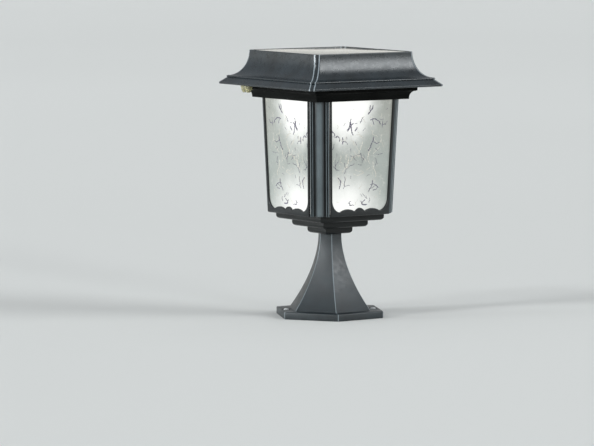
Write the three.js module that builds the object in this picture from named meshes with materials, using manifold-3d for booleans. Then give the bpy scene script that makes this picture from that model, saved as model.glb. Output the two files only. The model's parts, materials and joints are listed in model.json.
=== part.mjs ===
// A solar garden light: a square lantern with a lift-off solar roof, on a flared hexagonal pedestal.
// Millimetres, +Z up. The origin is the centre of the underside of the foot, and the front window faces -Y.
import * as THREE from "three";
import { mergeVertices } from "three/addons/utils/BufferGeometryUtils.js";
import Module from "manifold-3d";

const wasm = await Module();
wasm.setup();

// ---------------------------------------------------------------- driving dimensions

const GAP = 0.3; // left between pieces that touch
const SIDES = ["front", "right", "back", "left"]; // -Y, +X, +Y and -X

// Pedestal. A hexagon's radius runs from its centre to a corner. Two of its flats would face -Y and +Y,
// but it is turned a little on the bolt that holds it.
const FOOT_RADIUS = 79;
const FOOT_TOP = 9.8;
const FOOT_BEVEL = 0.8;
const COLUMN_TOP = 112;
const COLUMN_TOP_RADIUS = 17.1;
const COLUMN_FLARE = 42.9; // how much wider the column is at the foot
const COLUMN_FLARE_POWER = 1.8;
const NECK_TOP = 114.7;
const PEDESTAL_WALL = 3;
const PEDESTAL_ROOF = 106; // underside of the solid top of the column
const GROUND_SCREW_REACH = 60.4; // from the axis
const GROUND_SCREW_TURN = Math.PI / 3; // from -Y towards +X
const PEDESTAL_TURN = THREE.MathUtils.degToRad(3); // how far it is turned on the coupling bolt
const RECESS_RADIUS = 6;
const RECESS_DEPTH = 2.8;
const GROUND_HOLE_RADIUS = 2.4;
const GROUND_SCREW = { headRadius: 4.1, headHeight: 3.4, shankRadius: 2 };
const GROUND_CLEARANCE = 0.4; // under the tips of the ground screws
const DRIVE_TURN = 0.5; // how far the cross of each ground screw is turned
const UPRIGHT = new THREE.Vector3(0, 0, 1);

// Stepped base: three square tiers, each with a rounded lower edge.
const TIERS = [
  { half: 22.8, bottom: 115 },
  { half: 38, bottom: 124.5 },
  { half: 53.8, bottom: 134 },
];
const TIER_EDGE = 4.5;
const TIER_CORNER = 2;
const TIER_WALL = 3;
const TIERS_TOP = 143.2;
const BASE_SCREW_REACH = 41; // from the axis along X and along Y
const BASE_SCREW = { headRadius: 3.2, headHeight: 1.5, shankRadius: 1.5, length: 8.5, segments: 10 };
const BASE_BOSS_RADIUS = 4.5;
const BASE_HOLE_RADIUS = 1.9;

// Coupling bolt, washer and nut. The bolt ends inside the column.
const BOLT_RADIUS = 4;
const BOLT_HOLE_RADIUS = 4.4;
const BOLT_HEAD = { radius: 6.5, height: 2.6 };
const BOLT_END = 94;
const WASHER = { radius: 8.4, thickness: 1.6 };
const NUT = { radius: 7.5, height: 6.5 };
const NUT_BORE = 4.3;

// Lantern frame. The walls lean out as they rise, and each corner is cut off and carries a reeded post.
const FRAME_BOTTOM = 143.5;
const FRAME_SHOULDER = 300.7;
const FRAME_TOP = 312;
const FRAME_BOTTOM_HALF = 70.5;
const FRAME_LEAN = 0.0364; // outwards for each millimetre of height
const FRAME_WALL = 3;
const FRAME_FLOOR = 3;
const CORNER_CUT = 21; // leg of the cut-off corner
const POST_WALL = 6;
const POST_GROOVE = 3;
const POST_EDGE = 14.6; // half-width of the grooved strip
const POST_BEADS = [
  { centre: -12.2, halfWidth: 1.1, rise: 0, steps: 3 },
  { centre: -9.4, halfWidth: 1.1, rise: 0, steps: 3 },
  { centre: 0, halfWidth: 6.5, rise: 0.6, steps: 8 },
  { centre: 9.4, halfWidth: 1.1, rise: 0, steps: 3 },
  { centre: 12.2, halfWidth: 1.1, rise: 0, steps: 3 },
];
const RING_HALF = 73.7;
const RING_CUT = 21.8;
const RING_WALL = 3.5;

// Windows, measured in the plane of the wall from its centre line.
const WINDOW_MARGIN = 24.6; // the wall's half-side less the window's half-width
const SILL_HEIGHT = 149.6;
const SILL_BUMPS = [
  { centre: -20.4, halfWidth: 12.4, rise: 3.5 },
  { centre: 0, halfWidth: 8, rise: 4.7 },
  { centre: 20.4, halfWidth: 12.4, rise: 3.5 },
];
const SILL_REACH = 32.8;
const WINDOW_ROUND = 16.8; // height of the rounded lower corners
const PANE_THICKNESS = 3;
const PANE_OVERLAP = 2.2; // behind the frame on each side
const PANE_BOTTOM = 146.9;
const PANE_TOP = 300.4;
const RETAINER_BOTTOM = 294;
const RETAINER_WIDTH = 1.5;
const RETAINER_CUT = 17.5;

// Reflector on the floor of the lantern: heights above its underside.
const REFLECTOR_CUT = 17;
const REFLECTOR_SKIN = 1.2;
const REFLECTOR_RIM = 5;
const REFLECTOR_FLAT = 2.8;
const REFLECTOR_SHOULDER = 3.4; // half-way in
const REFLECTOR_PEAK = 9;

// Collar between the frame and the roof.
const COLLAR_BOTTOM = 301;
const COLLAR_FLANGE = 313;
const COLLAR_TOP = 318.9;
const COLLAR_HALF = 78;
const COLLAR_FLANGE_HALF = 86.2;
const COLLAR_CORNER = 2.5;
const COLLAR_LIP = 1.4; // the upright edge below the cove
const COLLAR_QUIRK = 0.8; // the small step between the cove and the flange
const SEAL_HALF = 77;
const SEAL_WIDTH = 3;
const SEAL_DEPTH = 1.5;

// Roof: a flat lip, a sloping fascia, a bead and a hollow curve up to the solar panel.
const ROOF_TOP = 366;
const ROOF_BOTTOM = 318.7;
const ROOF_CORNER = 7.5;
const BRIM_HALF = 112.2;
const LIP_TOP = 321.2;
const BEAD_HALF = 104.8;
const BEAD_BOTTOM = 327;
const COVE_HALF = 103.8;
const COVE_WIDTH = 21.6;
const COVE_HEIGHT = 35.5;
const COVE_STEPS = 8;
const ROOF_WALL = 2.5;
const ROOF_CEILING = 358.1;
const PANEL_RECESS_HALF = 79.2;
const PANEL_RECESS_FLOOR = 360.6;
const BOSS_REACH = 93;
const BOSS_RADIUS = 4;
const BOSS_HOLE_RADIUS = 1.8;
const PANEL_LEAD_PLACE = { x: -20, y: -50, radius: 4 }; // hole for the panel's lead

// Solar panel stack.
const PANEL_HALF = 78.7;
const GLASS_TOP = 365.5;
const GLASS_THICKNESS = 1.8;
const LAMINATE_HALF = 76.5;
const LAMINATE_THICKNESS = 1.4;

// Base plate of the roof, with a skirt that drops into the collar.
const PLATE_BOTTOM = 319.2;
const PLATE_TOP = 322.2;
const PLATE_HALF = 108.8;
const PLATE_SCREW = { headRadius: 3.2, headHeight: 1.6, shankRadius: 1.5, length: 9, segments: 10 };
const SKIRT_HALF = 69.6;
const SKIRT_CUT = 19.4;
const SKIRT_WALL = 2.5;
const SKIRT_BOTTOM = 308;

// Battery compartment, on the back half of the plate.
const CELL_RADIUS = 9.1;
const CELL_LENGTH = 65;
const CELL_HEIGHT = 333; // its axis above the ground
const CELL_ROWS = [34.5, 53.5];
const BOX_HALF = 35.5; // inside the compartment, along X
const BOX_INNER = new THREE.Box3(
  new THREE.Vector3(-BOX_HALF, 24.9, PLATE_TOP),
  new THREE.Vector3(BOX_HALF, 63.1, 343),
);
const BOX_WALL = 2.4;
const BATTERY_LEAD = { y: 36, z: 340 }; // where it leaves the compartment
const CELL_RIM = 0.8; // rounding of the ends of a cell
const CELL_NIB = { radius: 3.4, height: 1.6 };
const CONTACT = { thickness: 0.8, reach: 6, halfHeight: 5, padRadius: 2.6 };
const DOOR_OPENING_HALF = 36.2;
const DOOR_NEAR = 24.9; // the free edge
const DOOR_HINGE = { y: 62.2, z: 320.7 };
const DOOR_BARREL_RADIUS = 1.4;
const DOOR_PIN_RADIUS = 0.6;
const DOOR_THICKNESS = 2;
const DOOR_RIBS = [-24, 0, 24];
const DOOR_RIB_HEIGHT = 0.8;
const DOOR_TAB_HALF = 7;

// Circuit board, on the front half of the plate.
const BOARD = { halfX: 32, front: -70, back: -32, bottom: 327.3, thickness: 1.6 };
const STANDOFF_RADIUS = 3;
const BOARD_SCREW = { headRadius: 2.6, headHeight: 1.5, shankRadius: 1.1, length: 5, segments: 10 };
const CHIP = { x: -1, y: -51, half: 5, height: 1.6 };
const COIL = { x: 16, y: -58, radius: 5, height: 5 };
const LOW_PARTS = [-20, -13, 12]; // their places along X
const LOW_PART_Y = -40.8;

// Lamp.
const LED_BOARD_RADIUS = 19;
const LED_BOARD_THICKNESS = 1.6;
const LED_LEAD_PLACE = { x: 4, y: -12 };
const EMITTER = { radius: 9, faceRadius: 7, height: 1.4, rim: 0.8 };
const DIFFUSER_RIM = 2.4; // height of the flat rim
const DIFFUSER_RADIUS = 23.5;
const DIFFUSER_DROP = 15;
const DIFFUSER_WALL = 1.5;

// Rocker switch under the brim.
const SWITCH_X = -97;
const SWITCH_Y = 62;
const BOOT_BOTTOM = 308;
const SWITCH_BODY = { halfX: 3.5, halfY: 6.3, top: 325.6 };
const SWITCH_BEZEL = { halfX: 4.3, halfY: 7, bottom: 316.9 };
const SWITCH_CAVITY = { halfX: 2.9, halfY: 5.9, top: 321.6 };
const SWITCH_TERMINAL = { reach: 4.3, halfY: 1, bottom: 322.9, top: 324.9 };
const AXLE_RADIUS = 0.8;
const ROCKER_PIVOT = 317.2;
const ROCKER_TILT = THREE.MathUtils.degToRad(12);

// ---------------------------------------------------------------- colours and finishes

const finish = (color, roughness, metalness, extra = {}) =>
  new THREE.MeshStandardMaterial({ color, roughness, metalness, ...extra });

const FINISHES = {
  anthracite: finish(0x3e4445, 0.45, 0.1),
  darkPlastic: finish(0x26292a, 0.55, 0),
  crackle: finish(0xe9efe2, 0.35, 0, { emissive: 0xdfe8d4 }),
  reflector: finish(0xf2f2ee, 0.3, 0),
  whitePlastic: finish(0xe4e5e0, 0.5, 0),
  solarGlass: finish(0xbdbba4, 0.15, 0),
  solarCell: finish(0x1b2340, 0.3, 0.1),
  rubber: finish(0x191a1b, 0.8, 0),
  steel: finish(0xc9ccce, 0.3, 0.9),
  nickel: finish(0xb9b7ae, 0.3, 0.9),
  circuit: finish(0x1f5a3a, 0.5, 0),
  batteryWrap: finish(0x3f7fb0, 0.4, 0),
  ledYellow: finish(0xf2e58a, 0.4, 0),
  clearRubber: finish(0xd9d6b4, 0.2, 0),
  switchBlack: finish(0x141516, 0.4, 0),
  leadRed: finish(0xa22a24, 0.5, 0),
  leadWhite: finish(0xd8d8d2, 0.5, 0),
};

// ---------------------------------------------------------------- solids

function solidOf(geometry) {
  const bare = geometry.clone();
  bare.deleteAttribute("normal");
  bare.deleteAttribute("uv");
  const merged = mergeVertices(bare, 1e-4);
  const mesh = new wasm.Mesh({
    numProp: 3,
    vertProperties: merged.attributes.position.array,
    triVerts: new Uint32Array(merged.index.array),
  });
  return new wasm.Manifold(mesh);
}

function geometryOf(solid) {
  const { vertProperties, triVerts } = solid.getMesh();
  const indexed = new THREE.BufferGeometry();
  indexed.setAttribute("position", new THREE.BufferAttribute(vertProperties, 3));
  indexed.setIndex(new THREE.BufferAttribute(triVerts, 1));
  const geometry = indexed.toNonIndexed();
  geometry.computeVertexNormals();
  return geometry;
}

// Joins and cuts whole geometries: everything in cuts is taken from the sum of everything in parts.
function shaped(parts, cuts = []) {
  const whole = parts.map(solidOf).reduce((sum, part) => sum.add(part));
  return geometryOf(cuts.map(solidOf).reduce((rest, cut) => rest.subtract(cut), whole));
}

function common(a, b) {
  return geometryOf(solidOf(a).intersect(solidOf(b)));
}

// A closed solid through stacked outlines. Each has as many points as the others, anticlockwise from above.
function loft(sections) {
  const count = sections[0].points.length;
  const positions = sections.flatMap(({ z, points }) => points.flatMap((point) => [point.x, point.y, z]));
  const index = [];
  for (let level = 0; level < sections.length - 1; level += 1) {
    for (let i = 0; i < count; i += 1) {
      const a = level * count + i;
      const b = level * count + ((i + 1) % count);
      index.push(a, b, b + count, a, b + count, a + count);
    }
  }
  const last = sections.length - 1;
  for (const [a, b, c] of THREE.ShapeUtils.triangulateShape(sections[0].points, [])) {
    index.push(c, b, a);
  }
  for (const [a, b, c] of THREE.ShapeUtils.triangulateShape(sections[last].points, [])) {
    index.push(last * count + a, last * count + b, last * count + c);
  }
  const geometry = new THREE.BufferGeometry();
  geometry.setAttribute("position", new THREE.Float32BufferAttribute(positions, 3));
  geometry.setIndex(index);
  return geometry;
}

function roundedRectangle(halfX, halfY, radius, steps = 4) {
  const signs = [
    [1, 1],
    [-1, 1],
    [-1, -1],
    [1, -1],
  ];
  return signs.flatMap(([signX, signY], quarter) =>
    Array.from({ length: steps + 1 }, (_, i) => {
      const angle = ((quarter + i / steps) * Math.PI) / 2;
      return new THREE.Vector2(
        signX * (halfX - radius) + radius * Math.cos(angle),
        signY * (halfY - radius) + radius * Math.sin(angle),
      );
    }),
  );
}

// A square with its corners cut off at 45 degrees.
function cutSquare(half, cut) {
  const near = half - cut;
  return [
    [half, -near],
    [half, near],
    [near, half],
    [-near, half],
    [-half, near],
    [-half, -near],
    [-near, -half],
    [near, -half],
  ].map(([x, y]) => new THREE.Vector2(x, y));
}

// The leg of the cut corner once every side has moved in by inset.
const insetCut = (cut, inset) => cut - inset * (2 - Math.SQRT2);

function squareStack(profile, radius, steps) {
  return loft(profile.map(([half, z]) => ({ z, points: roundedRectangle(half, half, radius, steps) })));
}

function prism(points, bottom, top) {
  return loft([
    { z: bottom, points },
    { z: top, points },
  ]);
}

function block(minX, maxX, minY, maxY, minZ, maxZ) {
  const box = new THREE.BoxGeometry(maxX - minX, maxY - minY, maxZ - minZ);
  return box.translate((minX + maxX) / 2, (minY + maxY) / 2, (minZ + maxZ) / 2);
}

// A solid of revolution about Z. The profile lists [radius, z] from the bottom of the axis to its top.
function turned(profile, segments, start = 0) {
  const points = profile.map(([radius, z]) => new THREE.Vector2(radius, z));
  return new THREE.LatheGeometry(points, segments, start).rotateX(Math.PI / 2);
}

function hexagonal(profile) {
  return turned(profile, 6, Math.PI / 6);
}

function rod(x, y, bottom, top, radius, segments = 16) {
  return new THREE.CylinderGeometry(radius, radius, top - bottom, segments)
    .rotateX(Math.PI / 2)
    .translate(x, y, (bottom + top) / 2);
}

function rodAlongX(minX, maxX, y, z, radius, segments = 12) {
  return new THREE.CylinderGeometry(radius, radius, maxX - minX, segments)
    .rotateZ(Math.PI / 2)
    .translate((minX + maxX) / 2, y, z);
}

// A pan-head screw that points down, with a cross drive. Its head rests on the plane z = 0.
function screw({ headRadius, headHeight, shankRadius, length, segments = 14 }) {
  const drive = headRadius * 0.55;
  const slot = headRadius * 0.12;
  const floor = headHeight * 0.45;
  const body = turned(
    [
      [0, -length],
      [shankRadius * 0.6, -length],
      [shankRadius, -length + shankRadius],
      [shankRadius, 0],
      [headRadius, 0],
      [headRadius, headHeight * 0.45],
      [headRadius * 0.85, headHeight * 0.8],
      [headRadius * 0.45, headHeight],
      [0, headHeight],
    ],
    segments,
  );
  const cross = [
    block(-drive, drive, -slot, slot, floor, headHeight + 1),
    block(-slot, slot, -drive, drive, floor, headHeight + 1),
  ];
  return shaped([body], cross);
}

// A round lead along a smooth curve through its points.
function lead(points, radius, steps) {
  const section = new THREE.Shape().absarc(0, 0, radius, 0, 2 * Math.PI);
  const path = new THREE.CatmullRomCurve3(points.map((point) => new THREE.Vector3(...point)));
  return new THREE.ExtrudeGeometry(section, { steps, curveSegments: 4, extrudePath: path });
}

// ---------------------------------------------------------------- the assembly

const light = new THREE.Group();

function place(name, material, geometry, position = [0, 0, 0], rotation = [0, 0, 0]) {
  const mesh = new THREE.Mesh(geometry, FINISHES[material]);
  mesh.name = name;
  mesh.position.set(...position);
  mesh.rotation.set(...rotation);
  light.add(mesh);
}

const fourCorners = (reach) => [
  [-reach, -reach],
  [reach, -reach],
  [reach, reach],
  [-reach, reach],
];

// ---------------------------------------------------------------- pedestal

function columnRadius(z) {
  const drop = (COLUMN_TOP - z) / (COLUMN_TOP - FOOT_TOP);
  return COLUMN_TOP_RADIUS + COLUMN_FLARE * drop ** COLUMN_FLARE_POWER;
}

function pedestal() {
  const steps = 10;
  const rise = COLUMN_TOP - FOOT_TOP;
  const heights = Array.from({ length: steps + 1 }, (_, i) => FOOT_TOP + (rise * i) / steps);
  const inset = PEDESTAL_WALL / Math.cos(Math.PI / 6);
  const outer = hexagonal([
    [0, 0],
    [FOOT_RADIUS - FOOT_BEVEL, 0],
    [FOOT_RADIUS, FOOT_BEVEL],
    [FOOT_RADIUS, FOOT_TOP - FOOT_BEVEL],
    [FOOT_RADIUS - FOOT_BEVEL, FOOT_TOP],
    ...heights.map((z) => [columnRadius(z), z]),
    [COLUMN_TOP_RADIUS, NECK_TOP],
    [0, NECK_TOP],
  ]);
  const hollowHeights = heights.filter((z) => z < PEDESTAL_ROOF);
  const hollow = hexagonal([
    [0, -1],
    [columnRadius(FOOT_TOP) - inset, -1],
    ...hollowHeights.map((z) => [columnRadius(z) - inset, z]),
    [columnRadius(PEDESTAL_ROOF) - inset, PEDESTAL_ROOF],
    [0, PEDESTAL_ROOF],
  ]);
  const boltHole = rod(0, 0, PEDESTAL_ROOF - 1, NECK_TOP + 1, BOLT_HOLE_RADIUS);
  const screwCuts = groundScrewPlaces().flatMap(([x, y]) => [
    rod(x, y, FOOT_TOP - RECESS_DEPTH, FOOT_TOP + 1, RECESS_RADIUS, 20),
    rod(x, y, -1, FOOT_TOP, GROUND_HOLE_RADIUS, 12),
  ]);
  return shaped([outer], [hollow, boltHole, ...screwCuts]);
}

function groundScrewPlaces() {
  const x = GROUND_SCREW_REACH * Math.sin(GROUND_SCREW_TURN);
  const y = GROUND_SCREW_REACH * Math.cos(GROUND_SCREW_TURN);
  return [
    [x, -y],
    [-x, y],
  ];
}

place("pedestal", "anthracite", pedestal(), [0, 0, 0], [0, 0, PEDESTAL_TURN]);
groundScrewPlaces().forEach(([x, y], i) => {
  const seat = FOOT_TOP - RECESS_DEPTH + GAP;
  const spot = new THREE.Vector3(x, y, seat).applyAxisAngle(UPRIGHT, PEDESTAL_TURN);
  const body = screw({ ...GROUND_SCREW, length: seat - GROUND_CLEARANCE });
  place(`ground_screw_${i + 1}`, "steel", body, spot.toArray(), [0, 0, DRIVE_TURN]);
});

// ---------------------------------------------------------------- stepped base

function tierProfile() {
  const steps = 4;
  return TIERS.flatMap(({ half, bottom }, i) => {
    const top = i + 1 < TIERS.length ? TIERS[i + 1].bottom : TIERS_TOP;
    const edge = Array.from({ length: steps + 1 }, (_, k) => {
      const angle = ((k / steps) * Math.PI) / 2;
      return [half - TIER_EDGE * (1 - Math.sin(angle)), bottom + TIER_EDGE * (1 - Math.cos(angle))];
    });
    return [...edge, [half, top]];
  });
}

function steppedBase() {
  const hollow = squareStack(
    TIERS.flatMap(({ half, bottom }, i) => {
      const top = i + 1 < TIERS.length ? TIERS[i + 1].bottom + TIER_WALL : TIERS_TOP + 1;
      return [
        [half - TIER_WALL, bottom + TIER_WALL],
        [half - TIER_WALL, top],
      ];
    }),
    1,
    2,
  );
  const shell = shaped([squareStack(tierProfile(), TIER_CORNER, 3)], [hollow]);
  const tierFloor = TIERS[2].bottom + 1;
  const rods = (bottom, top, radius) =>
    fourCorners(BASE_SCREW_REACH).map(([x, y]) => rod(x, y, bottom, top, radius, 12));
  const bosses = rods(tierFloor, TIERS_TOP, BASE_BOSS_RADIUS);
  const holes = rods(tierFloor + 2, TIERS_TOP + 1, BASE_HOLE_RADIUS);
  const boltHole = rod(0, 0, TIERS[0].bottom - 1, TIERS[0].bottom + TIER_WALL + 1, BOLT_HOLE_RADIUS);
  return shaped([shell, ...bosses], [...holes, boltHole]);
}

place("stepped_base", "anthracite", steppedBase());

// ---------------------------------------------------------------- lantern frame and windows

const frameHalf = (z) => FRAME_BOTTOM_HALF + FRAME_LEAN * (z - FRAME_BOTTOM);
const windowHalf = (z) => frameHalf(z) - WINDOW_MARGIN;

// One quarter of the frame's outline: a cut corner with its beads, from the +X face to the +Y face.
function postOutline(half) {
  const along = new THREE.Vector2(-1, 1).normalize();
  const out = new THREE.Vector2(1, 1).normalize();
  const middle = new THREE.Vector2(half - CORNER_CUT / 2, half - CORNER_CUT / 2);
  const edge = CORNER_CUT / Math.SQRT2;
  const at = (s, h) => middle.clone().addScaledVector(along, s).addScaledVector(out, h);
  const beads = POST_BEADS.flatMap(({ centre, halfWidth, rise, steps }) =>
    Array.from({ length: steps + 1 }, (_, i) => {
      const angle = Math.PI * (1 - i / steps);
      const height = (rise + POST_GROOVE) * Math.sin(angle) - POST_GROOVE;
      return at(centre + halfWidth * Math.cos(angle), height);
    }),
  );
  return [at(-edge, 0), at(-POST_EDGE, -POST_GROOVE), ...beads, at(POST_EDGE, -POST_GROOVE), at(edge, 0)];
}

function frameOutline(z) {
  const quarter = postOutline(frameHalf(z));
  const origin = new THREE.Vector2();
  return [0, 1, 2, 3].flatMap((turn) =>
    quarter.map((point) => point.clone().rotateAround(origin, (turn * Math.PI) / 2)),
  );
}

// The window opening of the front wall, as a prism that runs through the wall along Y.
function windowCut() {
  const roundSteps = 6;
  const bumpSteps = 6;
  const shape = new THREE.Shape();
  const roundTop = SILL_HEIGHT + WINDOW_ROUND;
  const roundWidth = windowHalf(roundTop) - SILL_REACH;
  shape.moveTo(windowHalf(FRAME_SHOULDER), FRAME_SHOULDER);
  shape.lineTo(-windowHalf(FRAME_SHOULDER), FRAME_SHOULDER);
  for (let i = 0; i <= roundSteps; i += 1) {
    const angle = ((i / roundSteps) * Math.PI) / 2;
    shape.lineTo(-SILL_REACH - roundWidth * Math.cos(angle), roundTop - WINDOW_ROUND * Math.sin(angle));
  }
  for (const { centre, halfWidth, rise } of SILL_BUMPS) {
    for (let i = 1; i <= bumpSteps; i += 1) {
      const across = (2 * i) / bumpSteps - 1;
      shape.lineTo(centre + halfWidth * across, SILL_HEIGHT + rise * (1 - across * across));
    }
  }
  for (let i = 0; i <= roundSteps; i += 1) {
    const angle = ((1 - i / roundSteps) * Math.PI) / 2;
    shape.lineTo(SILL_REACH + roundWidth * Math.cos(angle), roundTop - WINDOW_ROUND * Math.sin(angle));
  }
  const depth = 20;
  return new THREE.ExtrudeGeometry(shape, { depth, bevelEnabled: false })
    .rotateX(Math.PI / 2)
    .translate(0, depth - frameHalf(FRAME_SHOULDER) - 3, 0);
}

// A slab behind the front wall: outer and inner say how far its faces lie inside the wall's outer face.
function wallSlab(outer, inner, margin, bottom, top) {
  const section = (z) => {
    const half = frameHalf(z);
    const reach = windowHalf(z) + margin;
    const points = [
      new THREE.Vector2(-reach, outer - half),
      new THREE.Vector2(reach, outer - half),
      new THREE.Vector2(reach, inner - half),
      new THREE.Vector2(-reach, inner - half),
    ];
    return { z, points };
  };
  return loft([section(bottom), section(top)]);
}

const quarterTurns = (geometry) => SIDES.map((_, turn) => geometry.clone().rotateZ((turn * Math.PI) / 2));

function lanternFrame() {
  const floorTop = FRAME_BOTTOM + FRAME_FLOOR;
  const walls = loft([
    { z: FRAME_BOTTOM, points: frameOutline(FRAME_BOTTOM) },
    { z: FRAME_SHOULDER, points: frameOutline(FRAME_SHOULDER) },
  ]);
  const ring = prism(cutSquare(RING_HALF, RING_CUT), FRAME_SHOULDER - GAP / 3, FRAME_TOP);
  const hollowSection = (z) => {
    const half = frameHalf(z) - FRAME_WALL;
    const cut = CORNER_CUT - 2 * FRAME_WALL + POST_WALL * Math.SQRT2;
    return { z, points: cutSquare(half, cut) };
  };
  const hollow = loft([hollowSection(floorTop), hollowSection(FRAME_SHOULDER)]);
  const throat = prism(
    cutSquare(RING_HALF - RING_WALL, insetCut(RING_CUT, RING_WALL)),
    FRAME_SHOULDER - 1,
    FRAME_TOP + 1,
  );
  const pocket = wallSlab(FRAME_WALL, 3 * FRAME_WALL, PANE_OVERLAP + GAP, floorTop, FRAME_SHOULDER);
  const holes = [[0, 0], ...fourCorners(BASE_SCREW_REACH)].map(([x, y]) =>
    rod(x, y, FRAME_BOTTOM - 1, floorTop + 1, x === 0 ? BOLT_HOLE_RADIUS : 2, 12),
  );
  const body = shaped([walls], [hollow, ...quarterTurns(windowCut()), ...quarterTurns(pocket), ...holes]);
  return shaped([body, ring], [throat]);
}

place("lantern_frame", "anthracite", lanternFrame());

const paneOuter = FRAME_WALL + GAP;
const pane = wallSlab(paneOuter, paneOuter + PANE_THICKNESS, PANE_OVERLAP, PANE_BOTTOM, PANE_TOP);
quarterTurns(pane).forEach((geometry, i) => place(`window_pane_${SIDES[i]}`, "crackle", geometry));

function paneRetainer() {
  const outer = frameHalf(RETAINER_BOTTOM) - FRAME_WALL - PANE_THICKNESS - 2 * GAP;
  const inner = outer - RETAINER_WIDTH;
  return shaped(
    [prism(cutSquare(outer, RETAINER_CUT), RETAINER_BOTTOM, PANE_TOP)],
    [prism(cutSquare(inner, insetCut(RETAINER_CUT, RETAINER_WIDTH)), RETAINER_BOTTOM - 1, PANE_TOP + 1)],
  );
}

place("pane_retainer", "whitePlastic", paneRetainer());

// A shallow tray with an upright rim that keeps the foot of each pane in place, and a raised middle.
function floorReflector() {
  const bottom = FRAME_BOTTOM + FRAME_FLOOR + GAP;
  const half = frameHalf(bottom) - FRAME_WALL - PANE_THICKNESS - 2 * GAP;
  const inner = half - REFLECTOR_SKIN;
  const through = ([reach, rise]) => ({
    z: bottom + rise,
    points: cutSquare(reach, (REFLECTOR_CUT * reach) / half),
  });
  const tray = [
    [half, 0],
    [half, REFLECTOR_RIM],
    [inner, REFLECTOR_RIM],
    [inner, REFLECTOR_FLAT],
    [half * 0.5, REFLECTOR_SHOULDER],
    [half * 0.12, REFLECTOR_PEAK],
  ];
  const under = [
    [inner, -1],
    [inner, REFLECTOR_FLAT - REFLECTOR_SKIN],
    [half * 0.5, REFLECTOR_SHOULDER - REFLECTOR_SKIN],
    [half * 0.1, REFLECTOR_PEAK - REFLECTOR_SKIN],
  ];
  return shaped([loft(tray.map(through))], [loft(under.map(through))]);
}

place("floor_reflector", "reflector", floorReflector());

fourCorners(BASE_SCREW_REACH).forEach(([x, y], i) => {
  place(`base_screw_${i + 1}`, "steel", screw(BASE_SCREW), [x, y, FRAME_BOTTOM + FRAME_FLOOR + GAP]);
});

// The bolt hangs through the floor, the tiers and the top of the pedestal, and the nut pulls them together.
function couplingBolt() {
  const headBottom = FRAME_BOTTOM + FRAME_FLOOR + GAP;
  const shank = rod(0, 0, BOLT_END, headBottom + 1, BOLT_RADIUS, 16);
  const head = rod(0, 0, headBottom, headBottom + BOLT_HEAD.height, BOLT_HEAD.radius, 6);
  return shaped([shank, head]);
}

function hollowRound(outerRadius, bottom, top, outerSegments) {
  return shaped(
    [rod(0, 0, bottom, top, outerRadius, outerSegments)],
    [rod(0, 0, bottom - 1, top + 1, NUT_BORE, 16)],
  );
}

const washerTop = PEDESTAL_ROOF - GAP;
const washerBottom = washerTop - WASHER.thickness;
const nutTop = washerBottom - GAP;
place("coupling_bolt", "steel", couplingBolt());
place("coupling_washer", "steel", hollowRound(WASHER.radius, washerBottom, washerTop, 20));
place("coupling_nut", "steel", hollowRound(NUT.radius, nutTop - NUT.height, nutTop, 6));

// ---------------------------------------------------------------- collar and seal

function collar() {
  const steps = 6;
  const lipTop = COLLAR_BOTTOM + COLLAR_LIP;
  const coveTop = COLLAR_FLANGE - COLLAR_QUIRK;
  const coveReach = COLLAR_FLANGE_HALF - 2 * COLLAR_QUIRK - COLLAR_HALF;
  const cove = Array.from({ length: steps + 1 }, (_, i) => {
    const angle = ((i / steps) * Math.PI) / 2;
    return [COLLAR_HALF + coveReach * (1 - Math.cos(angle)), lipTop + (coveTop - lipTop) * Math.sin(angle)];
  });
  const outer = squareStack(
    [
      [COLLAR_HALF, COLLAR_BOTTOM],
      ...cove,
      [COLLAR_FLANGE_HALF, COLLAR_FLANGE],
      [COLLAR_FLANGE_HALF, COLLAR_TOP],
    ],
    COLLAR_CORNER,
    3,
  );
  const socket = prism(cutSquare(RING_HALF + GAP, RING_CUT - GAP), COLLAR_BOTTOM - 1, FRAME_TOP + GAP);
  const throat = prism(
    cutSquare(RING_HALF - RING_WALL, insetCut(RING_CUT, RING_WALL)),
    COLLAR_BOTTOM - 1,
    COLLAR_TOP + 1,
  );
  return shaped([outer], [socket, throat, squareRing(GAP, SEAL_DEPTH + GAP)]);
}

// The seal's ring at the top of the collar, grown by margin on its sides, so that it also cuts the groove.
function squareRing(margin, depth) {
  const corner = 1.5;
  const top = margin > 0 ? COLLAR_TOP + 1 : COLLAR_TOP;
  const bottom = COLLAR_TOP - depth;
  const outer = SEAL_HALF + margin;
  const inner = SEAL_HALF - SEAL_WIDTH - margin;
  return shaped(
    [prism(roundedRectangle(outer, outer, corner, 2), bottom, top)],
    [prism(roundedRectangle(inner, inner, corner, 2), bottom - 1, top + 1)],
  );
}

place("collar", "darkPlastic", collar());
place("cap_seal", "rubber", squareRing(0, SEAL_DEPTH));

// ---------------------------------------------------------------- roof shell

// The hollow curve of the roof, moved in by inset, from the bead up to its top.
function coveProfile(inset, top) {
  const first = Math.asin((ROOF_TOP - top) / (COVE_HEIGHT + inset));
  return Array.from({ length: COVE_STEPS + 1 }, (_, i) => {
    const angle = Math.PI / 2 + (first - Math.PI / 2) * (i / COVE_STEPS);
    return [
      COVE_HALF - (COVE_WIDTH + inset) * Math.cos(angle),
      ROOF_TOP - (COVE_HEIGHT + inset) * Math.sin(angle),
    ];
  });
}

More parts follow.
